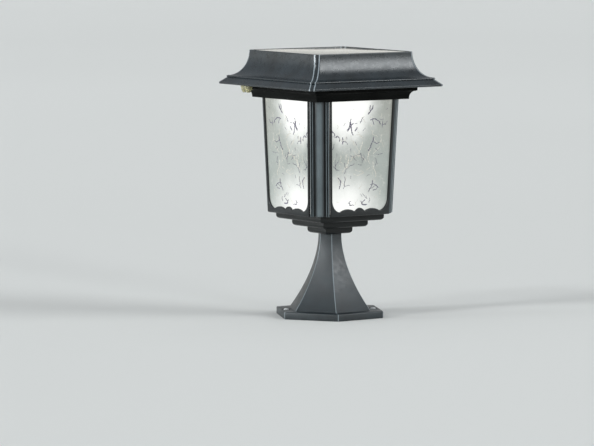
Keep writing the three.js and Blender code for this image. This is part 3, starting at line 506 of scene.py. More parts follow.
def srgb(red, green, blue):
    """Linear colour of an 8-bit screen colour."""
    return tuple(
        c / 12.92 if c <= 0.04045 else ((c + 0.055) / 1.055) ** 2.4
        for c in (red / 255, green / 255, blue / 255)
    )


class Surface:
    """A Principled material whose colour, roughness and relief come from procedural textures."""

    def __init__(self, name, color, roughness, **sockets):
        self.material = bpy.data.materials.new(name)
        self.material.use_nodes = True
        self.tree = self.material.node_tree
        self.shader = self.tree.nodes["Principled BSDF"]
        self.set("Base Color", (*color, 1))
        self.set("Roughness", roughness)
        for socket, value in sockets.items():
            self.set(socket.replace("_", " "), value)
        self.place = self.node("ShaderNodeTexCoord").outputs["Object"]

    def set(self, socket, value):
        self.shader.inputs[socket].default_value = value

    def node(self, kind, inputs=None, **properties):
        made = self.tree.nodes.new(kind)
        for key, value in properties.items():
            setattr(made, key, value)
        for key, value in (inputs or {}).items():
            if isinstance(value, bpy.types.NodeSocket):
                self.tree.links.new(value, made.inputs[key])
            else:
                made.inputs[key].default_value = value
        return made

    def link(self, output, socket):
        self.tree.links.new(output, self.shader.inputs[socket])

    def noise(self, size, detail=3, place=None):
        """Noise with features of about this size in millimetres."""
        inputs = {"Vector": place or self.place, "Scale": 1 / (size * MM), "Detail": detail}
        return self.node("ShaderNodeTexNoise", inputs).outputs["Fac"]

    def cells(self, size, feature="F1", place=None):
        inputs = {"Vector": place or self.place, "Scale": 1 / (size * MM)}
        return self.node("ShaderNodeTexVoronoi", inputs, feature=feature).outputs["Distance"]

    def ramp(self, value, *stops):
        """A colour ramp through (position, colour) stops."""
        made = self.node("ShaderNodeValToRGB", {"Fac": value})
        elements = made.color_ramp.elements
        while len(elements) < len(stops):
            elements.new(1)
        for element, (position, color) in zip(elements, stops):
            element.position = position
            element.color = (*color, 1)
        return made.outputs["Color"]

    def span(self, value, low, high, start=0.0, end=1.0, smooth=False):
        inputs = {"Value": value, "From Min": low, "From Max": high, "To Min": start, "To Max": end}
        kind = "SMOOTHSTEP" if smooth else "LINEAR"
        return self.node("ShaderNodeMapRange", inputs, interpolation_type=kind).outputs["Result"]

    def math(self, operation, a, b=0.0):
        return self.node("ShaderNodeMath", {0: a, 1: b}, operation=operation).outputs["Value"]

    def times(self, a, b):
        return self.math("MULTIPLY", a, b)

    def minus(self, a, b):
        return self.math("SUBTRACT", a, b)

    def unsigned(self, value):
        return self.math("ABSOLUTE", value)

    def axes(self, place=None):
        """The X, Y and Z of each point, in metres."""
        return self.node("ShaderNodeSeparateXYZ", {"Vector": place or self.place}).outputs

    def mix(self, factor, a, b):
        made = self.node("ShaderNodeMix", data_type="RGBA")
        for index, value in ((0, factor), (6, a), (7, b)):
            if isinstance(value, bpy.types.NodeSocket):
                self.tree.links.new(value, made.inputs[index])
            else:
                made.inputs[index].default_value = value if index == 0 else (*value, 1)
        return made.outputs[2]

    def shine(self, size, low, high, detail=3):
        """Roughness from low to high, in patches of about this size in millimetres."""
        self.link(self.span(self.noise(size, detail), 0.3, 0.7, low, high), "Roughness")

    def relief(self, *layers):
        """Bumps from (height, depth in millimetres) layers."""
        normal = None
        for height, depth in layers:
            inputs = {"Height": height, "Distance": depth * MM}
            if normal is not None:
                inputs["Normal"] = normal
            normal = self.node("ShaderNodeBump", inputs).outputs["Normal"]
        self.link(normal, "Normal")


def moulded(name, dark, light, roughness, grain=1.0, sheen=0.35, painted_highlight=None):
    """Satin plastic with a fine grain, uneven in colour and shine, with a painted highlight: where it is
    painted paler, and in what colour.
    """
    dark, light = srgb(*dark), srgb(*light)
    made = Surface(name, light, roughness)
    made.set("Specular IOR Level", sheen)
    cloud = made.noise(28, 4)
    fine = made.noise(0.9, 2)
    tone = made.math("ADD", made.times(cloud, 0.6), made.times(fine, 0.4))
    color = made.ramp(tone, (0.38, dark), (0.64, light))
    # painted highlight: a paler colour where the given mask lies
    if painted_highlight:
        where, highlight_color = painted_highlight
        highlight_mask = made.times(where(made), made.span(tone, 0.3, 0.6, 0.6, 1.0))
        color = made.mix(highlight_mask, color, srgb(*highlight_color))
    made.link(color, "Base Color")
    made.shine(7, roughness - 0.05, roughness + 0.06)
    made.relief((made.cells(0.9), 0.035 * grain), (fine, 0.04 * grain))
    return made.material


def post_crest_highlight(made):
    """One along the crests of the column and the reeds of each corner post, fading out to their sides, where
    a highlight is painted.
    """
    parts = made.axes()
    difference = made.minus(made.unsigned(parts["X"]), made.unsigned(parts["Y"]))
    across = made.math("DIVIDE", made.unsigned(difference), math.sqrt(2))
    crests = 0.0
    for centre, half_width, _, _ in POST_BEADS[2:]:
        aside = made.unsigned(made.minus(across, centre * MM))
        crest = made.span(aside, 0.2 * half_width * MM, 0.9 * half_width * MM, 1.0, 0.0, smooth=True)
        crests = made.math("MAXIMUM", crest, crests)
    return crests


def column_edge_highlight(made):
    """One on the six upright edges of the pedestal's column, where a highlight is painted."""
    parts = made.axes()
    turned_by = made.minus(made.math("ARCTAN2", parts["Y"], parts["X"]), PEDESTAL_TURN)
    from_edge = made.math("PINGPONG", turned_by, math.pi / 6)
    flat = made.node("ShaderNodeCombineXYZ", {"X": parts["X"], "Y": parts["Y"]}).outputs["Vector"]
    radius = made.node("ShaderNodeVectorMath", {0: flat}, operation="LENGTH").outputs["Value"]
    return made.span(made.times(from_edge, radius), 0.3 * MM, 0.75 * MM, 1.0, 0.0)


def roof_corner_highlights(made):
    """One on two lines down each corner of the roof, on either side of its rounding, where highlights are
    painted.
    """
    parts = made.axes()
    across = made.minus(made.unsigned(parts["X"]), made.unsigned(parts["Y"]))
    from_line = made.unsigned(made.minus(made.unsigned(across), HIGHLIGHT_LINE * MM))
    outside = made.span(made.unsigned(parts["X"]), HIGHLIGHT_START * MM, (HIGHLIGHT_START + 4) * MM)
    return made.times(outside, made.span(from_line, 0.5 * MM, 1.3 * MM, 1.0, 0.0, smooth=True))


# painted highlight along the crests of the posts
post_highlight = (post_crest_highlight, (94, 104, 108))
# painted highlight lines beside the corners of the roof
roof_highlight = (roof_corner_highlights, (150, 160, 166))
# painted highlight along the edges of the pedestal
pedestal_highlight = (column_edge_highlight, (122, 132, 137))
anthracite = moulded("anthracite", (14, 17, 18), (26, 31, 33), 0.34, sheen=0.5, painted_highlight=post_highlight)
satin_roof = moulded("roof_anthracite", (21, 27, 30), (35, 43, 48), 0.29, sheen=0.6, painted_highlight=roof_highlight)
matt_pedestal = moulded("pedestal_anthracite", (23, 29, 32), (36, 45, 49), 0.4, sheen=0.5, painted_highlight=pedestal_highlight)
# the same anthracite, painted darker on the stepped base as the shade of its downward-facing tiers
base_with_painted_shade = moulded("base_anthracite_painted_shade", (12, 15, 15), (22, 26, 26), 0.38, sheen=0.3)
# dark plastic, painted darker still as the shade under the roof's brim that falls on the collar
dark_plastic = moulded("dark_plastic", (3, 4, 3), (12, 14, 13), 0.5, sheen=0.06)
black_rubber = moulded("rubber", (14, 15, 15), (24, 25, 25), 0.75, grain=0.7, sheen=0.2)
switch_black = moulded("switch_black", (12, 13, 13), (22, 23, 23), 0.3, grain=0.3)
white_plastic = moulded("white_plastic", (214, 215, 208), (232, 232, 226), 0.45, grain=0.5)
reflector_white = moulded("reflector", (228, 229, 224), (242, 242, 238), 0.22, grain=0.15, sheen=0.5)
red_insulation = moulded("lead_red", (138, 22, 20), (170, 34, 30), 0.5, grain=0.3)
white_insulation = moulded("lead_white", (196, 196, 190), (218, 218, 212), 0.5, grain=0.3)


def bright_metal(name, dark, light, streak, metallic=0.95):
    """Plated metal, scratched along X where streak is over 1."""
    dark, light = srgb(*dark), srgb(*light)
    made = Surface(name, light, 0.28)
    made.set("Metallic", metallic)
    scratches = {"Vector": made.place, "Scale": (1 / streak, 1, 1)}
    stretch = made.node("ShaderNodeMapping", scratches).outputs["Vector"]
    made.link(made.ramp(made.noise(3, 4, stretch), (0.3, dark), (0.6, light)), "Base Color")
    made.shine(1.2, 0.2, 0.42, 2)
    made.relief((made.noise(0.6, 2, stretch), 0.02))
    return made.material


steel = bright_metal("steel", (150, 152, 152), (212, 214, 214), 1)
zinc = bright_metal("zinc", (200, 204, 206), (244, 245, 244), 1, 0.3)
nickel = bright_metal("nickel", (140, 137, 126), (196, 193, 182), 4)

# ---------------------------------------------------------------- pedestal


def column_radius(z):
    drop = (COLUMN_TOP - z) / (COLUMN_TOP - FOOT_TOP)
    return COLUMN_TOP_RADIUS + COLUMN_FLARE * drop**COLUMN_FLARE_POWER


def ground_screw_places():
    x = GROUND_SCREW_REACH * math.sin(math.pi / 3)
    y = GROUND_SCREW_REACH * math.cos(math.pi / 3)
    return ((x, -y), (-x, y))


def pedestal():
    steps = 36
    rise = COLUMN_TOP - FOOT_TOP
    heights = [FOOT_TOP + rise * i / steps for i in range(steps + 1)]
    inset = PEDESTAL_WALL / math.cos(math.pi / 6)
    inner = [(column_radius(PEDESTAL_ROOF) - inset, PEDESTAL_ROOF)]
    inner += [(column_radius(z) - inset, z) for z in reversed(heights) if z < PEDESTAL_ROOF]
    foot_inner = column_radius(FOOT_TOP) - inset
    edge = filleted(
        [
            (foot_inner, 3, 0),
            (foot_inner, 0, 0.4),
            (FOOT_RADIUS, 0, 0.8),
            (FOOT_RADIUS, FOOT_TOP, 1.1),
            (column_radius(FOOT_TOP), FOOT_TOP, 0),
        ]
    )
    outer = [(column_radius(z), z) for z in heights[1:]]
    radius = COLUMN_TOP_RADIUS
    neck = filleted([(radius, COLUMN_TOP + 0.4, 0), (radius, NECK_TOP, 0.5), (0, NECK_TOP, 0)])
    profile = [*inner, *edge, *outer, *neck[:-1]]
    body = solid(*loft([ring(rounded(hexagon(radius), COLUMN_EDGE, 4), z) for radius, z in profile]))
    cuts = [rod(0, 0, PEDESTAL_ROOF - 1, NECK_TOP + 1, BOLT_HOLE)]
    flare = 0.5
    for x, y in ground_screw_places():
        mouth = (RECESS_RADIUS + 2 * flare, FOOT_TOP + flare, 0)
        recess = filleted([(RECESS_RADIUS, RECESS_FLOOR, 0), (RECESS_RADIUS, FOOT_TOP - flare, 0.01), mouth])
        cuts.append(moved(turned(recess, 40), (x, y, 0)))
        cuts.append(rod(x, y, -1, FOOT_TOP, GROUND_SCREW[2] + 0.4))
    return moved(cut(body, cuts), turn=(0, 0, PEDESTAL_TURN))


piece("pedestal_moulding", pedestal(), matt_pedestal, "lantern", "pedestal")

# ---------------------------------------------------------------- screws, bolt, washer and nut


def pan_screw(head_radius, head_height, shank_radius, length):
    """A pan-head screw that points down, with a cross drive. Its head rests on z = 0."""
    pitch = shank_radius * 0.55
    thread = []
    z = -length + shank_radius * 1.3
    while z < -pitch:
        thread += [(shank_radius * 0.78, z), (shank_radius, z + pitch * 0.5)]
        z += pitch
    profile = [(0, -length), (shank_radius * 0.3, -length + 0.2), *thread, (shank_radius * 0.8, -pitch * 0.3)]
    crown = filleted(
        [
            (shank_radius * 0.8, 0, 0),
            (head_radius, 0, head_height * 0.15),
            (head_radius, head_height, head_height * 0.7),
            (0, head_height, 0),
        ],
        6,
    )
    body = turned([*profile, *crown], 40)
    wide, narrow = head_radius * 0.55, head_radius * 0.12
    floor = head_height * 0.4
    slots = [
        solid(*box((-x, -y, floor), (x, y, head_height + 1))) for x, y in ((wide, narrow), (narrow, wide))
    ]
    return cut(body, slots)


def four_corners(reach):
    return ((-reach, -reach), (reach, -reach), (reach, reach), (-reach, reach))


for index, (x, y) in enumerate(ground_screw_places(), 1):
    screw = moved(pan_screw(*GROUND_SCREW), (x, y, GROUND_SEAT), (0, 0, GROUND_SCREW_TURN))
    moved(screw, turn=(0, 0, PEDESTAL_TURN))
    piece(f"ground_screw_head_{index}", screw, zinc, "lantern", f"ground_screw_{index}")

head_bottom = FRAME_BOTTOM + FRAME_FLOOR + GAP
for index, (x, y) in enumerate(four_corners(BASE_SCREW_REACH), 1):
    screw = moved(pan_screw(*BASE_SCREW), (x, y, head_bottom))
    piece(f"base_fixing_{index}", screw, steel, "lantern", f"base_screw_{index}")

for index, (x, y) in enumerate(four_corners(PLATE_SCREW_REACH), 1):
    screw = moved(pan_screw(*PLATE_SCREW), (x, y, PLATE_BOTTOM - GAP), (math.pi, 0, 0))
    piece(f"plate_fixing_{index}", screw, steel, "solar_cap", f"plate_screw_{index}")


def chamfered_hexagon(radius, bottom, top, ends):
    """A hexagonal block with its corners turned off at the named ends, -1 for the lower, 1 for the upper."""
    block = prism(np.array(hexagon(radius)), bottom, top)
    flat, beyond = radius * math.cos(math.pi / 6), radius * 1.1
    low, high = (flat * 0.97 if end in ends else beyond for end in (-1, 1))
    drop = (radius - flat) * 0.6
    cone = turned([(low, bottom - 0.01), (beyond, bottom + drop), (beyond, top - drop), (high, top + 0.01)])
    return combined(block, [cone], "INTERSECT")


def threads(radius, bottom, top, pitch, depth):
    """(radius, z) points of a run of ridges, upwards."""
    count = int((top - bottom) / pitch)
    points = []
    for i in range(count):
        z = bottom + pitch * i
        points += [(radius - depth, z), (radius, z + pitch * 0.5)]
    return points


def coupling_bolt():
    radius = BOLT_RADIUS
    thread = threads(radius, BOLT_END + 1, BOLT_THREAD_TOP, THREAD_PITCH, 0.6)
    plain = [(radius, BOLT_THREAD_TOP + 2), (radius, head_bottom + 1)]
    shank = turned([(0, BOLT_END), (radius * 0.75, BOLT_END), *thread, *plain])
    head_top = head_bottom + BOLT_HEAD_HEIGHT
    return joined(shank, [chamfered_hexagon(BOLT_HEAD_RADIUS, head_bottom, head_top, (1,))])


def threaded_bore(bottom, top):
    depth = 0.5
    ridges = threads(WASHER_BORE + depth, bottom - 1, top + 1, THREAD_PITCH, depth)
    return turned([(0, bottom - 1.2), *ridges, (0, top + 1.2)])


washer_top = PEDESTAL_ROOF - GAP
washer_bottom = washer_top - WASHER_THICKNESS
nut_top = washer_bottom - GAP
nut_bottom = nut_top - NUT_HEIGHT
washer_section = [
    (WASHER_BORE, washer_bottom, 0.2),
    (WASHER_RADIUS, washer_bottom, 0.3),
    (WASHER_RADIUS, washer_top, 0.3),
    (WASHER_BORE, washer_top, 0.2),
]
washer = turned(filleted(washer_section, closed=True), 64, closed=True)
nut = cut(chamfered_hexagon(NUT_RADIUS, nut_bottom, nut_top, (-1, 1)), [threaded_bore(nut_bottom, nut_top)])
piece("coupling_stud", coupling_bolt(), steel, "lantern", "coupling_bolt")
piece("coupling_flat_washer", washer, steel, "lantern", "coupling_washer")
piece("coupling_hex_nut", nut, steel, "lantern", "coupling_nut")

# ---------------------------------------------------------------- stepped base


def stepped_base():
    outside = []
    for index, (half, bottom) in enumerate(TIERS):
        top = TIERS[index + 1][1] if index + 1 < len(TIERS) else TIERS_TOP
        for angle in quarter_angles(10):
            reach = half - TIER_EDGE * (1 - math.sin(angle))
            outside.append((reach, bottom + TIER_EDGE * (1 - math.cos(angle)), TIER_CORNER))
        outside.append((half, top, TIER_CORNER))
    inside = []
    for index, (half, bottom) in enumerate(TIERS):
        top = TIERS[index + 1][1] + TIER_WALL if index + 1 < len(TIERS) else TIERS_TOP
        inside += [(half - TIER_WALL, bottom + TIER_WALL, 1), (half - TIER_WALL, top, 1)]
    shell = square_stack([*inside, *reversed(outside)], 4)
    tier_floor = TIERS[2][1] + 1
    places = four_corners(BASE_SCREW_REACH)
    bosses = [rod(x, y, tier_floor, TIERS_TOP, BOSS_RADIUS) for x, y in places]
    holes = [rod(x, y, tier_floor + 2, TIERS_TOP + 1, BOSS_BORE) for x, y in places]
    holes.append(rod(0, 0, TIERS[0][1] - 1, TIERS[0][1] + TIER_WALL + 1, BOLT_HOLE))
    return cut(joined(shell, bosses), holes)


piece("stepped_base_moulding", stepped_base(), base_with_painted_shade, "lantern", "stepped_base")

# ---------------------------------------------------------------- lantern frame


def frame_half(z):
    return FRAME_BOTTOM_HALF + FRAME_LEAN * (z - FRAME_BOTTOM)


def window_half(z):
    return frame_half(z) - WINDOW_MARGIN


def frame_outline(half):
    """The reeded octagon of the frame, one cut corner after another."""
    along = np.array([-1, 1]) / math.sqrt(2)
    out = np.array([1, 1]) / math.sqrt(2)
    middle = np.array([1, 1]) * (half - CORNER_CUT / 2)
    edge = CORNER_CUT / math.sqrt(2)
    quarter = [(-edge, 0, 0.8), (-POST_EDGE, -POST_GROOVE, 0.2)]
    before = -POST_EDGE
    for centre, half_width, rise, steps in POST_BEADS:
        quarter.append(((before + centre - half_width) / 2, -POST_GROOVE, 0))
        before = centre + half_width
        for i in range(steps + 1):
            angle = math.pi * (1 - i / steps)
            height = (rise + POST_GROOVE) * math.sin(angle) - POST_GROOVE
            quarter.append((centre + half_width * math.cos(angle), height, 0))
    quarter.append(((before + POST_EDGE) / 2, -POST_GROOVE, 0))
    quarter += [(POST_EDGE, -POST_GROOVE, 0.2), (edge, 0, 0.8)]
    outline = []
    for turn in range(4):
        spin = np.array([[0, -1], [1, 0]])
        spin = np.linalg.matrix_power(spin, turn)
        for across, height, radius in quarter:
            x, y = spin @ (middle + along * across + out * height)
            outline.append((x, y, radius))
    return filleted(outline, 3, closed=True)


def window_outline():
    """Across and height of the window opening, anticlockwise from its upper right corner."""
    top = FRAME_SHOULDER + 3
    round_top = SILL_HEIGHT + WINDOW_ROUND
    round_width = window_half(round_top) - SILL_REACH
    outline = [(window_half(top), top), (-window_half(top), top)]
    steps = 12
    for angle in quarter_angles(steps):
        across = -SILL_REACH - round_width * math.cos(angle)
        outline.append((across, round_top - WINDOW_ROUND * math.sin(angle)))
    for centre, half_width, rise in SILL_BUMPS:
        for i in range(1, steps + 1):
            across = 2 * i / steps - 1
            outline.append((centre + half_width * across, SILL_HEIGHT + rise * (1 - across * across)))
    for i in range(1, steps + 1):
        angle = math.pi / 2 * (1 - i / steps)
        across = SILL_REACH + round_width * math.cos(angle)
        outline.append((across, round_top - WINDOW_ROUND * math.sin(angle)))
    return np.array(outline)


def window_cutter():
    """The opening as a tool that flares towards the outside, to round the edge of the window."""
    outline = window_outline()
    step = np.roll(outline, -1, 0) - np.roll(outline, 1, 0)
    outward = np.column_stack([step[:, 1], -step[:, 0]])
    outward /= np.linalg.norm(outward, axis=1)[:, None]
    rings = []
    angles = [math.radians(a) for a in (12, 12, 30, 50, 70, 90, 90)]
    for index, angle in enumerate(angles):
        depth = WINDOW_EDGE * (1 - math.cos(angle))
        depth = {0: -2, len(angles) - 1: 15}.get(index, depth)
        spread = outline + outward * WINDOW_EDGE * (1 - math.sin(angle))
        wall = [-frame_half(z) for z in spread[:, 1]]
        rings.append(np.column_stack([spread[:, 0], np.array(wall) + depth, spread[:, 1]]))
    return solid(*loft(rings))


def wall_slab(outer, inner, margin, bottom, top):
    rings = []
    for z in (bottom, top):
        half = frame_half(z)
        reach = window_half(z) + margin
        front, rear = outer - half, inner - half
        rings.append(ring(np.array([(-reach, front), (reach, front), (reach, rear), (-reach, rear)]), z))
    return solid(*loft(rings))


def lantern_frame():
    floor_top = FRAME_BOTTOM + FRAME_FLOOR
    levels = [(FRAME_BOTTOM, 0.9), (FRAME_BOTTOM + 0.3, 0.35), (FRAME_BOTTOM + 1, 0), (FRAME_SHOULDER, 0)]
    walls = solid(*loft([ring(frame_outline(frame_half(z) - inset), z) for z, inset in levels]))
    hollow = []
    for z in (floor_top, FRAME_SHOULDER + 2):
        cut_leg = CORNER_CUT - 2 * FRAME_WALL + POST_WALL * math.sqrt(2)
        hollow.append(ring(rounded(cut_square(frame_half(z) - FRAME_WALL, cut_leg), 0.6, 2), z))
    pocket = wall_slab(FRAME_WALL, 3 * FRAME_WALL, PANE_OVERLAP + GAP, floor_top, FRAME_SHOULDER + 2)
    places = [(x, y, BASE_SCREW_HOLE) for x, y in four_corners(BASE_SCREW_REACH)] + [(0, 0, BOLT_HOLE)]
    holes = [rod(x, y, FRAME_BOTTOM - 1, floor_top + 1, radius) for x, y, radius in places]
    windows = quarter_turns(window_cutter())
    body = cut(walls, [solid(*loft(hollow)), *windows, *quarter_turns(pocket), *holes])
    top_ring = prism(rounded(cut_square(RING_HALF, RING_CUT), 0.8, 3), FRAME_SHOULDER - GAP / 3, FRAME_TOP)
    inside = cut_square(RING_HALF - RING_WALL, inset_cut(RING_CUT, RING_WALL))
    throat = prism(rounded(inside, 0.8, 3), FRAME_SHOULDER - 1, FRAME_TOP + 1)
    return cut(joined(body, [top_ring]), [throat])


piece("lantern_frame_moulding", lantern_frame(), anthracite, "lantern", "lantern_frame")

# ---------------------------------------------------------------- crackle panes

PANE_STEP = 1.1
pane_waves = np.random.default_rng(7)
WAVES = [
    (pane_waves.uniform(0.12, 0.75), pane_waves.uniform(0, 2 * math.pi), pane_waves.uniform(0, 2 * math.pi))
    for _ in range(18)
]


def ripple(across, height):
    """Uneven surface of the pressed glass, from 0 to about 1."""
    total = np.zeros_like(across)
    for pitch, heading, phase in WAVES:
        total += np.sin(pitch * (across * math.cos(heading) + height * math.sin(heading)) + phase)
    return 0.5 + total / (2.2 * math.sqrt(len(WAVES)))


def crackle_pane(turn, mirrored):
    """A pane behind its window, with the pattern measured from the edge beside the front post."""
    heights = np.linspace(PANE_BOTTOM, PANE_TOP, round((PANE_TOP - PANE_BOTTOM) / PANE_STEP) + 1)
    columns = round(2 * window_half(PANE_TOP) / PANE_STEP) + 1
    sides = np.linspace(-1, 1, columns)
    side, height = np.meshgrid(sides, heights)
    half = frame_half(height)
    across = side * (window_half(height) + PANE_OVERLAP)
    from_post = (window_half(PANE_TOP) - across) if mirrored else (window_half(PANE_TOP) + across)
    wave = np.clip(ripple(from_post, height), 0, 1)
    border = np.minimum.reduce([1 - abs(side), (height - PANE_BOTTOM) / 60, (PANE_TOP - height) / 60])
    wave = 0.35 * wave * np.clip(border * 20, 0, 1)
    grids = [
        np.stack([across, PANE_OUTER + wave - half, height], -1).reshape(-1, 3),
        np.stack([across, PANE_INNER - wave - half, height], -1).reshape(-1, 3),
    ]
    rows, count = side.shape
    size = rows * count
    faces = []
    for row in range(rows - 1):
        for column in range(count - 1):
            a = row * count + column
            quad = (a, a + 1, a + count + 1, a + count)
            faces.append(quad)
            faces.append(tuple(size + corner for corner in reversed(quad)))
    rim = [row * count for row in range(rows)]
    rim += [(rows - 1) * count + column for column in range(1, count)]
    rim += [row * count + count - 1 for row in range(rows - 2, -1, -1)]
    rim += [column for column in range(count - 2, 0, -1)]
    for a, b in zip(rim, rim[1:] + rim[:1]):
        faces.append((a, b, size + b, size + a))
    mesh = bpy.data.meshes.new("pane")
    points = np.concatenate(grids) * MM
    mesh.from_pydata(points.tolist(), [], faces)
    spot = np.zeros((2 * size, 3))
    spot[:, 0] = np.tile(from_post.reshape(-1), 2) * MM
    spot[:, 2] = np.tile(height.reshape(-1), 2) * MM
    mesh.attributes.new("from_post", "FLOAT_VECTOR", "POINT").data.foreach_set("vector", spot.reshape(-1))
    mesh.transform(Matrix.Rotation(turn * math.pi / 2, 4, "Z"))
    return mesh


# Pools of light on a pane: distance from the post, level, width, reach, and where the fade starts and ends
UPPER_GLOW = (28, 304, 30, 40, 0.825, 2.05)
LOWER_GLOW = (28, 152, 30, 26, 0, 2.8)


def crackle_glass():
    """Frosted pane, lit from behind at its top and its foot, with pale webbed veins."""
    made = Surface("crackle_pane", srgb(106, 109, 105), 0.35)
    made.set("Specular IOR Level", 0.3)
    spot = made.node("ShaderNodeAttribute", attribute_name="from_post").outputs["Vector"]
    parts = made.axes(spot)
    side, height = parts["X"], parts["Z"]

    def pool(middle, level, width, reach, start, end):
        across = made.math("DIVIDE", made.minus(side, middle * MM), width * MM)
        upward = made.math("DIVIDE", made.minus(height, level * MM), reach * MM)
        squares = made.math("ADD", made.math("POWER", across, 2.0), made.math("POWER", upward, 2.0))
        distance = made.math("POWER", squares, 0.5)
        uneven = made.math("ADD", distance, made.span(made.noise(24, place=spot), 0.3, 0.7, -0.18, 0.18))
        return made.span(uneven, start, end, 1.0, 0.0, smooth=True)

    lit = made.math("MAXIMUM", pool(*UPPER_GLOW), pool(*LOWER_GLOW))
    outer = made.span(side, 60 * MM, 100 * MM, smooth=True)
    upper = made.span(height, 215 * MM, 270 * MM, smooth=True)
    edge_tone = made.mix(upper, (0.25, 0.285, 0.27), (0.27, 0.265, 0.235))
    field = made.mix(made.noise(30, place=spot), (0.22, 0.24, 0.225), (0.33, 0.355, 0.335))
    field = made.mix(made.times(outer, 0.55), field, edge_tone)
    bend = made.node("ShaderNodeTexNoise", {"Vector": spot, "Scale": 90.0, "Detail": 3.0}).outputs["Color"]
    bend = made.node("ShaderNodeVectorMath", {0: bend, 1: (0.5, 0.5, 0.5)}, operation="SUBTRACT").outputs[0]
    bend = made.node("ShaderNodeVectorMath", {0: bend, "Scale": 0.012}, operation="SCALE").outputs[0]
    bent = made.node("ShaderNodeVectorMath", {0: spot, 1: bend}, operation="ADD").outputs[0]
    web = made.span(made.cells(9, "DISTANCE_TO_EDGE", bent), 0.0, 0.07, 1.0, 0.0, smooth=True)
    patches = made.span(made.noise(16, 2, spot), 0.46, 0.62, smooth=True)
    vein = made.times(made.times(web, patches), 0.4)
    glow = made.mix(vein, field, (0.5, 0.5, 0.46))
    glow = made.mix(lit, glow, (0.98, 0.98, 0.96))
    made.link(glow, "Emission Color")
    made.set("Emission Strength", 0.92)
    frost = made.noise(0.8, 2, spot)
    made.relief((made.times(web, -1.0), 0.25), (frost, 0.06))
    return made.material


# Crackle of each kind on a pane: how many cracks, between which heights, their widths and their steps
CRACKLE = {
    "dark": (
        (11, (250, 286), (0.6, 1.2), (3.5, 7)),
        (6, (196, 246), (0.25, 0.4), (4, 9)),
        (6, (162, 186), (0.5, 1.0), (3, 6)),
        (24, (160, 290), (0.25, 0.45), (1.5, 4)),
    ),
    "pale": (
        (10, (190, 236), (0.35, 0.55), (5, 10)),
        (5, (236, 284), (0.3, 0.4), (4, 9)),
        (40, (160, 290), (0.25, 0.4), (1.5, 4)),
    ),
}
CRACKLE_HEIGHTS = (158, 296)
# how near the cracks come to the near and the far side of the window, and how near they start
CRACKLE_MARGIN = (3, 5)
CRACKLE_START = (6, 8)
GOLDEN = (math.sqrt(5) - 1) / 2


def crooked(start, heading, steps, count, random):
    """The bends of one crack, each step turned a little from the one before."""
    bends = [start]
    lowest, highest = CRACKLE_HEIGHTS
    for _ in range(count):
        heading += random.choice([-1, 1]) * random.uniform(0.1, 0.7)
        spot = bends[-1] + random.uniform(*steps) * np.array([math.cos(heading), math.sin(heading)])
        farthest = 2 * window_half(spot[1]) - CRACKLE_MARGIN[1]
        side = min(max(spot[0], CRACKLE_MARGIN[0]), farthest)
        bends.append(np.array([side, min(max(spot[1], lowest), highest)]))
    return bends, heading


def crackle(groups, seed):
    """Cracks with a branch here and there, spread over a pane: width, then the bends."""
    random = np.random.default_rng(seed)
    lines = []
    for count, heights, widths, steps in groups:
        shift = random.uniform()
        for k in range(count):
            height = random.uniform(*heights)
            breadth = 2 * window_half(height) - sum(CRACKLE_START)
            side = CRACKLE_START[0] + breadth * ((k * GOLDEN + shift) % 1)
            width = random.uniform(*widths)
            heading = random.uniform(-1, 1) + math.pi / 2 * random.choice([-1, 1])
            bends, last = crooked(np.array([side, height]), heading, steps, random.integers(2, 5), random)
            lines.append((width, bends))
            if steps[1] > 4 and random.uniform() < 0.6:
                branch, _ = crooked(bends[1], last + random.choice([-1.1, 1.1]), steps, 2, random)
                lines.append((0.7 * width, branch))
    return lines


def mark_path(bends, jitter, random):
    """Points about a millimetre apart along a mark, shaken sideways, with the tangent at each."""
    bends = np.array(bends, float)
    path = [bends[0]]
    for start, end in zip(bends, bends[1:]):
        count = max(2, round(np.linalg.norm(end - start) / 0.9))
        for k in range(1, count + 1):
            path.append(start + (end - start) * k / count)
    path = np.array(path)
    path[1:-1] += random.normal(0, jitter, (len(path) - 2, 2))
    along = np.gradient(path, axis=0)
    return path, along / np.linalg.norm(along, axis=1)[:, None]


def pane_marks(marks, turn, mirrored, depth, jitter):
    """Thin ribs in the face of a pane, uneven in width, all in one mesh."""
    random = np.random.default_rng(11)
    shapes = []
    for width, bends in marks:
        path, along = mark_path(bends, jitter, random)
        aside = np.column_stack([-along[:, 1], along[:, 0]])
        half_width = width * random.uniform(0.35, 1.0, len(path))
        half_width[[0, -1]] *= 0.3
        rings = []
        for point, normal, reach in zip(path, aside, half_width):
            corners = np.array([point - normal * reach, point + normal * reach])
            across = corners[:, 0] - window_half(PANE_TOP)
            across = -across if mirrored else across
            wall = PANE_OUTER - frame_half(corners[:, 1])
            outer = np.column_stack([across, wall + depth, corners[:, 1]])
            inner = np.column_stack([across[::-1], wall[::-1] + depth + 0.4, corners[::-1, 1]])
            rings.append(np.vstack([outer, inner]))
        shapes.append(loft(rings))
    mesh = gathered(shapes)
    mesh.transform(Matrix.Rotation(turn * math.pi / 2, 4, "Z"))
    return mesh


def mark_material(name, dark, light, glow):
    dark, light = srgb(*dark), srgb(*light)
    made = Surface(name, light, 0.5)
    made.set("Specular IOR Level", 0.2)
    tone = made.ramp(made.noise(1.6), (0.35, dark), (0.65, light))
    made.link(tone, "Base Color")
    made.link(tone, "Emission Color")
    made.set("Emission Strength", glow)
    made.relief((made.noise(0.5, 2), 0.05))
    return made.material


pane_glass = crackle_glass()
